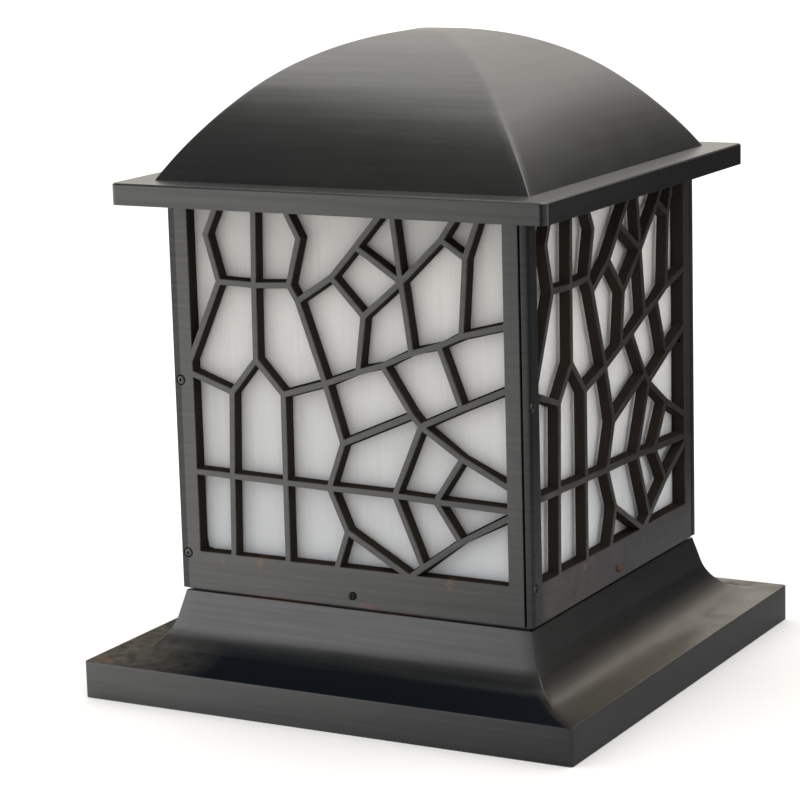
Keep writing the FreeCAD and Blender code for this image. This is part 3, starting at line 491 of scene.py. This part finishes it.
# How far in from the panels' faces the openings' walls run, and where the openings start
REVEAL_DEPTH = 13 * MM
REVEAL_SKIN = 0.4 * MM
REVEAL_FOOT = 27 * MM
REVEAL_HEAD = 13 * MM
# The width of the strip where one panel's edge shows beside the next
LAP_WIDTH = 5.2 * MM
# The Y where the right panel's wear starts, behind its left stile
WEAR_START = -122 * MM


def sideways_reach(shader):
    """The distances from the lantern's two middle planes."""
    return [shader.math("ABSOLUTE", shader.axis(name)) for name in ("X", "Y")]


def shaded_reveals(shader):
    """One on the walls of the grilles' openings, painted dark brown as shade, and zero elsewhere."""
    height = shader.axis("Z")
    reach = shader.largest(*sideways_reach(shader))
    return shader.product(shader.below(reach, CAGE - REVEAL_SKIN, 0.6 * MM),
                          shader.above(reach, CAGE - REVEAL_DEPTH, 1 * MM),
                          shader.above(height, CAGE_BOTTOM + REVEAL_FOOT, 1 * MM),
                          shader.below(height, CAGE_TOP - REVEAL_HEAD, 1 * MM))


def laps(shader):
    """One on the strips where one panel's edge shows beside the next panel, and zero elsewhere."""
    height = shader.axis("Z")
    nearer = shader.math("MINIMUM", *sideways_reach(shader))
    return shader.product(shader.above(nearer, CAGE - LAP_WIDTH, 0.4 * MM),
                          shader.above(height, CAGE_BOTTOM, 0.2 * MM),
                          shader.below(height, EAVE_BOTTOM, 1 * MM))


def worn_side(shader):
    """How far the right panel's face is rubbed to a dull brown: most beside its left stile."""
    height = shader.axis("Z")
    along = shader.axis("Y")
    return shader.product(shader.spread(shader.axis("X", shader.facing()), 0.80, 0.95),
                          shader.above(along, WEAR_START, 10 * MM),
                          shader.above(height, CAGE_BOTTOM, 0.2 * MM),
                          shader.below(height, EAVE_BOTTOM, 2 * MM),
                          shader.spread(along, -120 * MM, 60 * MM, 0.85, 0.30),
                          shader.spread(shader.noise(*WEAR_PATCHES), 0.34, 0.64, 0.35, 1.0))


def ledge_dirt_and_reflection(shader, smudge):
    """Masks for the plinth's ledge: grime on the front and left, the dust on that, and a painted warm
    reflection on the right and back."""
    up = shader.axis("Z", shader.facing())
    across = shader.axis("X")
    along = shader.axis("Y")
    weather = shader.below(shader.total(across, along), 8 * MM, 16 * MM)
    bottom = shader.below(shader.axis("Z"), PLINTH_HEIGHT + 18 * MM, 14 * MM)
    low = shader.product(bottom, weather)
    grime = shader.product(shader.spread(up, 0.20, 0.85), low)
    leeward = shader.spread(across, -PLINTH + 18 * MM, -COVE_TOP + 45 * MM, 1.0, 0.0)
    patchy = shader.spread(shader.noise(*DUST_PATCHES), 0.34, 0.64, 0.45, 1.0)
    dust = shader.product(grime, leeward, patchy)
    # Painted reflection: warm brown-grey, in place of the gloss, on upward faces low on the right and back
    warm_reflection = shader.product(shader.spread(up, 0.50, 0.85), shader.math("SUBTRACT", bottom, low),
                         shader.spread(smudge, 0.20, 0.70, 0.75, 1.0),
                         shader.spread(along, -PLINTH, -30 * MM, 0.30, 1.0))
    return grime, dust, warm_reflection


def lantern_paint():
    """Satin near-black paint with a bronze cast: slow colour drift, faint brush lines laid level,
    orange peel, dust on what faces up, rust in the seams and where water has run, painted shade on
    the walls of the grilles' openings and a painted warm reflection low on the base's right and back."""
    shader = Shader("lantern_paint")
    smudge = shader.noise(*SMUDGES)
    # A mask for painted shade on the walls of the grilles' openings
    wall = shaded_reveals(shader)
    # The third of these masks is a painted warm reflection, not dust
    grime, dust, warm_reflection = ledge_dirt_and_reflection(shader, smudge)
    rust = shader.product(shader.largest(*[shader.spot(*place) for place in RUST_PLACES]),
                          shader.spread(shader.noise(*RUST_GRAIN), 0.44, 0.60))

    body = shader.mix(shader.spread(shader.noise(*DRIFT), 0.38, 0.66), PAINT_DARK, PAINT_WARM)
    # The openings' walls and the ledge's right and back take painted shade and a painted reflection
    layers = ((worn_side(shader), PAINT_WORN), (wall, PAINT_REVEAL_SHADE), (grime, GRIME), (dust, DUST),
              (warm_reflection, WARM_REFLECTION_TINT), (rust, RUST))
    for share, colour in layers:
        body = shader.mix(share, body, colour)

    lines = shader.spread(shader.noise(*BRUSH_LINES), 0.25, 0.75, -0.012, 0.012)
    rough = shader.total(shader.spread(smudge, 0.30, 0.72, 0.300, 0.335), lines, shader.product(rust, 0.35),
                         shader.product(dust, 0.15), shader.product(wall, 0.30))

    bands = shader.spread(shader.noise(*BRUSH_BANDS), 0.30, 0.70, -0.10, 0.10)
    matt = shader.total(shader.product(grime, 1.1), warm_reflection, shader.product(wall, 1.1),
                        shader.product(laps(shader), 0.45), bands)
    shader.feed(Base_Color=body, Roughness=rough,
                Specular_IOR_Level=shader.spread(matt, -0.2, 1.0, 0.6, 0.0))
    relief = shader.total(shader.product(shader.noise(*ORANGE_PEEL), 0.03), shader.noise(*SAGS))
    shader.bump(relief, 0.10 * MM, 0.55)
    shader.set(IOR=1.9)
    return shader.material


OPAL_LOW = (0.62, 0.648, 0.688)
OPAL_HIGH = (0.73, 0.709, 0.672)
OPAL_MARK = (0.42, 0.41, 0.39)
OPAL_STREAK = (0.52, 0.50, 0.485)
OPAL_MARKS = (26.0, 6.0, 0.62)
OPAL_STREAKS = (300.0, 4.0, 0.6, (1, 1, 0.05))
OPAL_DEPTH = 16 * MM


def opal_sheet():
    """Frosted opal acrylic: warm where light comes down on it, cooler low down, with faint marks and
    upright streaks."""
    shader = Shader("opal_sheet")
    height = shader.spread(shader.axis("Z"), CAGE_BOTTOM + 20 * MM, CAGE_TOP - 60 * MM)
    body = shader.mix(height, OPAL_LOW, OPAL_HIGH)
    body = shader.mix(shader.spread(shader.noise(*OPAL_MARKS), 0.30, 0.74, 0.0, 0.12), body, OPAL_MARK)
    body = shader.mix(shader.spread(shader.noise(*OPAL_STREAKS), 0.36, 0.66, 0.0, 0.20), body, OPAL_STREAK)
    shader.feed(Base_Color=body, Roughness=shader.spread(shader.noise(90.0), 0.3, 0.7, 0.50, 0.66))
    shader.bump(shader.noise(900.0, 3.0), 0.04 * MM, 0.4)
    shader.set(IOR=1.49, Subsurface_Weight=0.8, Subsurface_Scale=1.0, Subsurface_Radius=(OPAL_DEPTH,) * 3)
    return shader.material


def plain_material(name, light, dark, rough_low, rough_high, scale, metallic=0.0, ior=1.5, grain=500.0):
    """A finish with two tones drifting into each other, uneven gloss and a fine grain."""
    shader = Shader(name)
    tone = shader.spread(shader.noise(scale, 5.0, 0.6), 0.32, 0.68)
    gloss = shader.spread(shader.noise(scale * 3, 4.0, 0.6), 0.3, 0.7, rough_low, rough_high)
    shader.feed(Base_Color=shader.mix(tone, light, dark), Roughness=gloss)
    shader.bump(shader.noise(grain, 3.0, 0.6), 0.05 * MM, 0.5)
    shader.set(Metallic=metallic, IOR=ior)
    return shader.material


def spangled_steel():
    """Galvanised sheet: flat grey crystals of different brightness."""
    shader = Shader("galvanised_steel")
    spangle = shader.spread(shader.cells(170.0), 0.1, 0.9)
    shader.feed(Base_Color=shader.mix(spangle, (0.36, 0.38, 0.39), (0.47, 0.49, 0.50)),
                Roughness=shader.spread(shader.noise(70.0), 0.3, 0.7, 0.34, 0.52))
    shader.bump(shader.noise(500.0), 0.03 * MM, 0.4)
    shader.set(Metallic=1.0)
    return shader.material


def rail_screw_steel():
    """The rail screws' finish: blackened all over, and rusted through on the right side."""
    shader = Shader("rusty_screw")
    patches = shader.spread(shader.noise(320.0, 5.0, 0.6), 0.32, 0.68)
    rust = shader.mix(patches, (0.050, 0.026, 0.016), (0.150, 0.052, 0.020))
    black = shader.mix(patches, (0.0030, 0.0030, 0.0030), (0.0090, 0.0070, 0.0060))
    right = shader.above(shader.axis("X"), 100 * MM, 50 * MM)
    shader.feed(Base_Color=shader.mix(right, black, rust),
                Roughness=shader.spread(patches, 0.0, 1.0, 0.46, 0.70))
    shader.bump(shader.noise(500.0, 3.0), 0.05 * MM, 0.5)
    shader.set(IOR=1.4)
    return shader.material


def opal_glass():
    """The lamp's tube: opal all through, so that nothing shows behind it."""
    shader = Shader("bulb_glass")
    drift = shader.spread(shader.noise(30.0, 3.0), 0.3, 0.7)
    shader.feed(Base_Color=shader.mix(drift, (0.86, 0.85, 0.82), (0.77, 0.77, 0.75)),
                Roughness=shader.spread(shader.noise(120.0), 0.3, 0.7, 0.29, 0.36))
    shader.bump(shader.noise(90.0, 1.0), 0.02 * MM, 0.2)
    shader.set(IOR=1.5)
    return shader.material


CARD_PALE = (0.86, 0.86, 0.85)


def fading_card(name, fades):
    """A sheet for the floor, pale on the left, that fades to each colour from one place along X to
    the next."""
    shader = Shader(name)
    body = CARD_PALE
    for left, right, colour in fades:
        body = shader.mix(shader.spread(shader.axis("X"), left, right), body, colour)
    shader.feed(Base_Color=body)
    shader.set(Roughness=0.9)
    return shader.material


PAINT = lantern_paint()
OPAL = opal_sheet()
STEEL = spangled_steel()
RAIL_SCREW = rail_screw_steel()
GLASS = opal_glass()
BLACK_CARD = plain_material("black_card", (0.010, 0.010, 0.010), (0.016, 0.016, 0.016), 0.8, 0.9, 3.0)
# Painted shadow: a floor sheet greying to the right, for the lantern's shadow on the floor in reflections
FLOOR_SHADOW_CARD = fading_card("grey_card", [(-0.34, 0.22, (0.20, 0.20, 0.22)), (0.28, 0.44, (0.045, 0.045, 0.050))])
FAR_CARD = fading_card("far_grey_card", [(-2.20, -1.10, (0.12, 0.12, 0.12))])
SCREW = plain_material("blackened_screw", (0.006, 0.007, 0.007), (0.016, 0.013, 0.011), 0.30, 0.42, 260.0,
                       ior=1.9)
GLAND = plain_material("gland_nylon", (0.030, 0.031, 0.033), (0.042, 0.043, 0.046), 0.42, 0.56, 80.0)
TERMINAL = plain_material("terminal_nylon", (0.74, 0.73, 0.67), (0.66, 0.65, 0.58), 0.36, 0.50, 60.0)
BRASS = plain_material("brass", (0.62, 0.46, 0.20), (0.46, 0.33, 0.14), 0.24, 0.42, 150.0, metallic=1.0)
PORCELAIN = plain_material("porcelain", (0.80, 0.79, 0.75), (0.72, 0.71, 0.66), 0.10, 0.22, 40.0, ior=1.55)
SLEEVE = plain_material("lead_sleeving", (0.64, 0.63, 0.59), (0.52, 0.51, 0.47), 0.60, 0.78, 200.0,
                        grain=1800.0)
CAP_METAL = plain_material("bulb_cap_metal", (0.66, 0.67, 0.68), (0.50, 0.51, 0.53), 0.26, 0.40, 90.0,
                           metallic=1.0)
RUBBER = plain_material("gasket_rubber", (0.022, 0.022, 0.023), (0.034, 0.034, 0.034), 0.62, 0.80, 120.0)

FINISHES = {
    "lantern_paint": PAINT, "opal_sheet": OPAL, "galvanised_steel": STEEL, "blackened_screw": SCREW,
    "gland_nylon": GLAND, "terminal_nylon": TERMINAL, "brass": BRASS, "porcelain": PORCELAIN,
    "lead_sleeving": SLEEVE, "bulb_cap_metal": CAP_METAL, "bulb_glass": GLASS, "gasket_rubber": RUBBER,
}

for node in nodes.values():
    slots = [slot.material.name.split(".")[0] for slot in node.material_slots if slot.material]
    for index, slot_name in enumerate(slots):
        if slot_name in FINISHES:
            node.material_slots[index].material = FINISHES[slot_name]


# Base


def base_levels():
    """The base shell's closed section: plinth, ledge, cove and lean outside, a wall inside it."""
    foot = (PLINTH - PLINTH_LEDGE, PLINTH_HEIGHT)
    bend = (COVE_TOP + COVE_LEAN_RUN, BASE_TOP - COVE_LEAN_DROP)
    across = foot[0] - bend[0]
    up = bend[1] - foot[1]
    radius = (across ** 2 + up ** 2) / (2 * up)
    centre = (foot[0], foot[1] + radius)
    growth = (radius + SHELL_WALL) / radius
    under_top = BASE_TOP - SHELL_WALL
    lip = COVE_TOP - BASE_FLANGE
    inner_bend = (centre[0] - across * growth, centre[1] - (radius - up) * growth)
    inner_foot = (foot[0], foot[1] - SHELL_WALL)
    inner_top = (inner_bend[0] - (under_top - inner_bend[1]) * COVE_LEAN_RUN / COVE_LEAN_DROP, under_top)
    cove = arc_points(centre, foot, bend, COVE_STEPS)
    outline = [(PLINTH, 0), (PLINTH, PLINTH_HEIGHT), *cove]
    top_edge = len(outline)
    outline += [(COVE_TOP, BASE_TOP), (lip, BASE_TOP), (lip, under_top), inner_top]
    outline += arc_points(centre, inner_bend, inner_foot, INNER_COVE_STEPS)
    outline += [(PLINTH - SHELL_WALL, PLINTH_HEIGHT - SHELL_WALL), (PLINTH - SHELL_WALL, 0)]
    return softened(outline, {0: FOOT_SOFTENING, 1: EDGE_SOFTENING, top_edge: EDGE_SOFTENING})


def base_corner(half, height):
    if height <= PLINTH_HEIGHT + WELD:
        return PLINTH_CORNER
    return COVE_CORNER


base = lofted("base_casting", base_levels(), base_corner, BASE_SIDE_STEPS, closed=True)
finish_piece(sharpen(base), PAINT, "lantern", "lantern_paint", "base_shell")


# Roof


def dome_section(wall):
    """The roof's section, drawn in by a wall, from the crown down to the eave."""
    reach = DOME - CROWN_SETBACK
    crown = reach * CROWN_SHARE
    out = reach / crown
    up = math.sqrt(1 - out ** 2)
    span = DOME - reach + FLANK_RADIUS * out
    flank_centre = (DOME - span, EAVE_TOP - math.sqrt(FLANK_RADIUS ** 2 - span ** 2))
    join = (reach - out * wall, flank_centre[1] + up * (FLANK_RADIUS - wall))
    crown_centre = (0.0, flank_centre[1] + up * (FLANK_RADIUS - crown))
    drop = EAVE_TOP - flank_centre[1]
    foot = (flank_centre[0] + math.sqrt((FLANK_RADIUS - wall) ** 2 - drop ** 2), EAVE_TOP)
    crest = (0.0, crown_centre[1] + crown - wall)
    crown_arc = arc_points(crown_centre, crest, join, CROWN_STEPS)
    flank_arc = arc_points(flank_centre, join, foot, FLANK_STEPS)
    return [(CREST_FLAT, crest[1])] + crown_arc[1:] + flank_arc[1:]


def hip_radius(half, height):
    """The welded hips are dressed to a rounder edge towards the crown."""
    share = max(0.0, (height - EAVE_TOP) / (DOME_TOP - EAVE_TOP))
    return HIP_FOOT + (HIP_TOP - HIP_FOOT) * share


dome_levels = dome_section(0.0) + dome_section(DOME_WALL)[::-1]
dome = lofted("roof_cover", dome_levels, hip_radius, DOME_SIDE_STEPS)
for vertex in dome.data.vertices:
    here = vertex.co
    ripple = noise.noise(here * RIPPLE_SCALE) * RIPPLE_HEIGHT
    if here.z > EAVE_TOP + RIPPLE_START:
        vertex.co.z += min(0.0, ripple)
finish_piece(sharpen(dome, DOME_SMOOTH_ANGLE), PAINT, "roof", "lantern_paint", "roof_dome")

eave = rebuilt("roof_eave", "roof_tray", EAVE_BEVEL)
finish_piece(eave, PAINT, "roof", "lantern_paint", "roof_eave")


# Cage


def walls_at(vertex, outward):
    """The walls of a grille that meet at a vertex, each as its normal and its draft. The rim's walls
    go on behind the bars and have no draft."""
    back = CAGE - BAR_DEPTH
    walls = []
    for face in vertex.link_faces:
        if abs(face.normal.dot(outward)) > WALL_LEAN:
            continue
        deepest = min(corner.co.dot(outward) for corner in face.verts)
        draft = 0.0 if deepest < back - RIM_BEHIND_BARS else BAR_DRAFT
        if all(face.normal.dot(normal) < SAME_WALL for normal, known in walls):
            walls.append((face.normal.copy(), draft))
    return walls


def drafted(outward):
    """Widens the bars of a grille at their back, where its own outward direction is given."""
    back = CAGE - BAR_DEPTH

    def reshape(bm):
        bm.normal_update()
        moves = []
        for vertex in bm.verts:
            if abs(vertex.co.dot(outward) - back) > NEAR_BACK:
                continue
            walls = walls_at(vertex, outward)
            if len(walls) == 1:
                normal, draft = walls[0]
                moves.append((vertex, normal * draft))
            elif len(walls) == 2:
                (first, near), (second, far) = walls
                facing = first.dot(second)
                room = 1 - facing ** 2
                if room > CORNER_ROOM:
                    shift = first * (near - facing * far) + second * (far - facing * near)
                    moves.append((vertex, shift / room))
        for vertex, shift in moves:
            vertex.co += shift
    return reshape


for index, side in enumerate(SIDES):
    outward = Matrix.Rotation(index * math.pi / 2, 3, "Z") @ Vector((0, -1, 0))
    panel = rebuilt("panel_" + side, "grille_" + side, reshape=drafted(outward))
    finish_piece(panel, PAINT, "lantern", "lantern_paint", "panel_" + side)


# Screws, lamp and leads


def parts_of(node):
    """The lowest and highest corners of each separate solid in a node."""
    bm = welded(node)
    left = set(bm.verts)
    boxes = []
    while left:
        group = [left.pop()]
        for vertex in group:
            for edge in vertex.link_edges:
                other = edge.other_vert(vertex)
                if other in left:
                    left.remove(other)
                    group.append(other)
        low = Vector(min(vertex.co[axis] for vertex in group) for axis in range(3))
        high = Vector(max(vertex.co[axis] for vertex in group) for axis in range(3))
        boxes.append((low, high))
    bm.free()
    return sorted(boxes, key=lambda box: tuple(box[0]))


def lathed(bm, profile, stand, sides, wobble=None):
    """Adds a turned form: its profile of (radius, height), turned about the stand's own Z axis. A
    wobble, of the height and the turn, is added to each radius."""
    rings = []
    for radius, height in profile:
        if radius == 0:
            rings.append([bm.verts.new(stand @ Vector((0, 0, height)))] * sides)
            continue
        ring = []
        for step in range(sides):
            turn = 2 * math.pi * step / sides
            reach = radius + (wobble(height, turn) if wobble else 0.0)
            point = Vector((reach * math.cos(turn), reach * math.sin(turn), height))
            ring.append(bm.verts.new(stand @ point))
        rings.append(ring)
    for lower, upper in zip(rings, rings[1:]):
        for step in range(sides):
            following = (step + 1) % sides
            corners = [lower[step], lower[following], upper[following], upper[step]]
            bm.faces.new(list(dict.fromkeys(corners)))


def slotted(piece, slots):
    """Cuts a driver slot across each screw head: (stand, width, length, depth), from the head's top."""
    bm = bmesh.new()
    for stand, width, length, depth in slots:
        size = Matrix.Diagonal((width, length, depth * 2, 1.0))
        bmesh.ops.create_cube(bm, size=1.0, matrix=stand @ size)
    cutter = new_piece(piece.name + "_cutter", bm, smooth=False)
    cut = piece.modifiers.new("slot", "BOOLEAN")
    cut.operation = "DIFFERENCE"
    cut.solver = "EXACT"
    cut.object = cutter
    apply_modifiers(piece)
    bpy.data.objects.remove(cutter)
    return piece


def pan_head_screws(name, node, outward, material, crossed):
    """Pan-head screws in the places of a node's solids, slotted or with a crossed recess."""
    bm = bmesh.new()
    slots = []
    crossings = []
    for low, high in parts_of(node):
        middle = (low + high) / 2
        axis = outward(middle)
        size = high - low
        reach = abs(size.dot(axis))
        radius = min(size) / 2
        turned = axis.to_track_quat("Z", "Y").to_matrix().to_4x4()
        turned.translation = middle + axis * reach / 2
        shank = radius * SHANK_SHARE
        profile = [(shank * across, -reach + shank * up) for across, up in POINT]
        profile.append((shank, -HEAD_HEIGHT))
        profile += [(radius * across, -HEAD_HEIGHT * down) for across, down in PAN_HEAD]
        lathed(bm, profile, turned, SCREW_SIDES)
        twist = Matrix.Rotation(random.uniform(-LARGEST_TWIST, LARGEST_TWIST), 4, "Z")
        if crossed:
            slots.append((turned @ twist, RECESS_WIDTH, radius * RECESS_SHARE, RECESS_DEPTH))
            crossings.append((turned @ twist, radius * RECESS_SHARE, RECESS_WIDTH, RECESS_DEPTH))
        else:
            slots.append((turned @ twist, SLOT_WIDTH, radius * SLOT_SHARE, SLOT_DEPTH))
    screws = slotted(new_piece(name, bm), slots)
    if crossings:
        slotted(screws, crossings)
    return finish_piece(sharpen(screws), material, "lantern", "blackened_screw", node)


def sideways(middle):
    """The unit vector out of the nearer side of the cage."""
    if abs(middle.x) > abs(middle.y):
        return Vector((math.copysign(1, middle.x), 0, 0))
    return Vector((0, math.copysign(1, middle.y), 0))


def facing_side(middle):
    """Out of the panel that a corner screw goes through: the one whose left stile it is in."""
    turns = [Vector((0, -1, 0)), Vector((1, 0, 0)), Vector((0, 1, 0)), Vector((-1, 0, 0))]
    return max(turns, key=lambda turn: turn.dot(middle) * 2 + Vector((turn.y, -turn.x, 0)).dot(middle))


pan_head_screws("corner_screw_heads", "corner_screws", facing_side, SCREW, True)
pan_head_screws("rail_screw_heads", "rail_screws", sideways, RAIL_SCREW, False)


def threaded_cap():
    """The bulb's screw cap: a rolled thread, an insulating ring and the contact at its foot."""
    low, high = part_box("bulb_cap")
    reach = high.x
    foot = low.z + CONTACT_HEIGHT
    thread_bottom = foot + THREAD_START
    thread_top = high.z - SKIRT_HEIGHT

    def rolled(height, turn):
        if height < thread_bottom or height > thread_top - THREAD_RUNOUT:
            return 0.0
        phase = 2 * math.pi * (height / THREAD_PITCH - turn / (2 * math.pi))
        return -THREAD_DEPTH * (0.5 - 0.5 * math.cos(phase))

    profile = [(0, low.z), (CONTACT_TIP, low.z), (CONTACT_RADIUS, low.z + CONTACT_EDGE),
               (CONTACT_RADIUS, foot), (INSULATOR_RADIUS, foot),
               (reach - CAP_DRAWN_IN, foot + INSULATOR_HEIGHT)]
    for step in range(THREAD_STEPS + 1):
        height = thread_bottom + (thread_top - thread_bottom) * step / THREAD_STEPS
        profile.append((reach - THREAD_INSET, height))
    profile += [(reach, thread_top + SKIRT_EDGE), (reach, high.z), (0, high.z)]
    bm = bmesh.new()
    lathed(bm, profile, Matrix.Identity(4), TURNED_SIDES, rolled)
    finish_piece(sharpen(new_piece("screw_cap", bm)), CAP_METAL, "bulb", "bulb_cap_metal", "bulb_cap")


def tubular_lamp():
    """The lamp's opal tube: a drawn-in neck, straight sides and a domed end, a thin closed shell."""
    low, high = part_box("bulb_tube")
    reach = high.x
    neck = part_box("bulb_cap")[1].x - THREAD_INSET

    def outline(inset):
        neck_top = low.z + TUBE_NECK + inset
        middle = (neck, low.z + TUBE_NECK + reach - neck)
        points = [(neck - inset, low.z + inset), (neck - inset, neck_top)]
        points += arc_points(middle, (neck, neck_top), (reach - inset, middle[1]), SHOULDER_STEPS)[1:]
        for step in range(TUBE_CROWN_STEPS + 1):
            angle = math.pi / 2 * step / TUBE_CROWN_STEPS
            across = reach - TUBE_CROWN + (TUBE_CROWN - inset) * math.cos(angle)
            up = high.z - TUBE_CROWN + (TUBE_CROWN - inset) * math.sin(angle)
            points.append((across, up))
        return points + [(0, high.z - inset)]

    bm = bmesh.new()
    for inset in (0.0, TUBE_WALL):
        lathed(bm, [(0, low.z + inset)] + outline(inset), Matrix.Identity(4), TURNED_SIDES)
    bmesh.ops.recalc_face_normals(bm, faces=bm.faces)
    finish_piece(sharpen(new_piece("opal_tube", bm)), GLASS, "bulb", "bulb_glass", "bulb_tube")


threaded_cap()
tubular_lamp()

holder = rebuilt("lampholder", "porcelain_holder", HOLDER_BEVEL, HOLDER_BEVEL_STEPS)
finish_piece(holder, PORCELAIN, "lantern", "porcelain", "lampholder")

leads = smoothed("lamp_leads", "sleeved_leads")
finish_piece(leads, SLEEVE, "lantern", "lead_sleeving", "lamp_leads")


# Stage


FLOOR_REACH = 30.0
CARD_LEVEL = 0.5 * MM
CAMERA_PLACE = Vector((1.01875, -1.91637, 0.65054))
CAMERA_AZIMUTH = math.radians(28.831)
CAMERA_ELEVATION = math.radians(11.653)
CAMERA_ROLL = math.radians(-1.601)
FOCAL_PIXELS = 2925.35
PHOTO_PIXELS = 800
SENSOR = 36.0
NEAREST_SEEN = 0.05
FARTHEST_SEEN = 100.0

# Where the surroundings differ from white: (direction, inner and outer angle in degrees, radiance)
SKY_PATCHES = [
    ((-0.3, 1.0, 0.25), 10, 60, (1.12, 1.06, 0.97)),
    ((0.0, 0.1, 1.0), 5, 72, (2.00, 1.96, 1.88)),
    ((-0.9, -0.5, 0.12), 8, 45, (1.75, 1.76, 1.80)),
]
# Black cards that face the lantern: (name, degrees from the front to the right, distance, width, bottom, top)
FLAGS = [
    ("flag_front", 16, 0.85, 0.8, 0.0, 1.3),
    ("flag_high", -38, 0.75, 3.0, 0.53, 2.10),
    ("flag_right", 72, 0.80, 1.2, 0.26, 1.25),
]
# A black card behind the lantern, square to it: Y, then from and to along X and along Z
EAST_FLAG = (0.60, (0.19, 0.85), (0.0, 0.77))
# Sheets on the floor: from and to along X, from and to along Y, and the material
FLOOR_SHEETS = {
    # The nearer sheet is a painted shadow: the lantern's shadow on the floor, which only reflections see
    "grey_floor": ((-0.36, 1.3), (-1.0, 1.2), FLOOR_SHADOW_CARD),
    "far_grey_floor": ((-2.30, -0.30), (-5.0, -1.80), FAR_CARD),
}


def floor():
    bm = bmesh.new()
    bmesh.ops.create_grid(bm, x_segments=8, y_segments=8, size=FLOOR_REACH)
    piece = new_piece("floor", bm, smooth=False)
    shader = Shader("floor")
    drift = shader.spread(shader.noise(1.5), 0.3, 0.7)
    shader.feed(Base_Color=shader.mix(drift, (0.84, 0.84, 0.84), (0.87, 0.87, 0.865)))
    shader.set(Roughness=0.7)
    piece.data.materials.append(shader.material)


def card(name, corners, material):
    """A sheet that only reflections see, so that it shades neither the floor nor the glazing."""
    bm = bmesh.new()
    bm.faces.new([bm.verts.new(corner) for corner in corners])
    piece = new_piece(name, bm, smooth=False)
    piece.data.materials.append(material)
    piece.visible_camera = False
    piece.visible_diffuse = False
    piece.visible_shadow = False


def flag(name, degrees, distance, width, low, high):
    """A black card that stands facing the lantern."""
    azimuth = math.radians(degrees)
    across = Vector((math.cos(azimuth), math.sin(azimuth), 0)) * width / 2
    middle = Vector((math.sin(azimuth), -math.cos(azimuth), 0)) * distance
    rise = Vector((0, 0, 1))
    card(name, [middle - across + rise * low, middle + across + rise * low,
                middle + across + rise * high, middle - across + rise * high], BLACK_CARD)


def painted_over(tree, colour, axis, inner, outer, radiance):
    """The world's colour with a soft round patch of another radiance about an axis."""
    dot = tree.nodes.new("ShaderNodeVectorMath")
    dot.operation = "DOT_PRODUCT"
    tree.links.new(tree.nodes["Texture Coordinate"].outputs["Generated"], dot.inputs[0])
    dot.inputs[1].default_value = Vector(axis).normalized()
    share = tree.nodes.new("ShaderNodeMapRange")
    share.interpolation_type = "SMOOTHSTEP"
    share.inputs["From Min"].default_value = math.cos(math.radians(outer))
    share.inputs["From Max"].default_value = math.cos(math.radians(inner))
    tree.links.new(dot.outputs["Value"], share.inputs["Value"])
    blend = tree.nodes.new("ShaderNodeMix")
    blend.data_type = "RGBA"
    tree.links.new(share.outputs["Result"], blend.inputs["Factor"])
    tree.links.new(colour, blend.inputs[6])
    blend.inputs[7].default_value = (*radiance, 1.0)
    return blend.outputs[2]


def studio():
    """Even pale surroundings, brighter overhead and on the left, with black cards and grey sheets that
    the glossy paint mirrors; the nearer grey sheet is a painted shadow of the lantern on the floor."""
    world = bpy.data.worlds.new("studio")
    bpy.context.scene.world = world
    world.use_nodes = True
    tree = world.node_tree
    tree.nodes.new("ShaderNodeTexCoord")
    base = tree.nodes.new("ShaderNodeRGB")
    base.outputs[0].default_value = (1.0, 1.0, 1.0, 1.0)
    colour = base.outputs[0]
    for patch in SKY_PATCHES:
        colour = painted_over(tree, colour, *patch)
    tree.links.new(colour, tree.nodes["Background"].inputs["Color"])
    for place in FLAGS:
        flag(*place)
    y, (left, right), (low, high) = EAST_FLAG
    card("flag_east", [(left, y, low), (right, y, low), (right, y, high), (left, y, high)], BLACK_CARD)
    for name, ((left, right), (near, far), material) in FLOOR_SHEETS.items():
        corners = [(left, near), (right, near), (right, far), (left, far)]
        card(name, [(x, y, CARD_LEVEL) for x, y in corners], material)


def camera():
    data = bpy.data.cameras.new("camera")
    data.sensor_width = SENSOR
    data.lens = SENSOR * FOCAL_PIXELS / PHOTO_PIXELS
    data.clip_start = NEAREST_SEEN
    data.clip_end = FARTHEST_SEEN
    stand = bpy.data.objects.new("camera", data)
    bpy.context.scene.collection.objects.link(stand)
    turn = Matrix.Rotation(CAMERA_AZIMUTH, 3, "Z")
    tilt = Matrix.Rotation(math.pi / 2 - CAMERA_ELEVATION, 3, "X")
    roll = Matrix.Rotation(CAMERA_ROLL, 3, "Z")
    stand.rotation_mode = "QUATERNION"
    stand.rotation_quaternion = (turn @ tilt @ roll).to_quaternion()
    stand.location = CAMERA_PLACE
    bpy.context.scene.camera = stand


floor()
studio()
camera()
bpy.context.scene.view_settings.view_transform = "Standard"
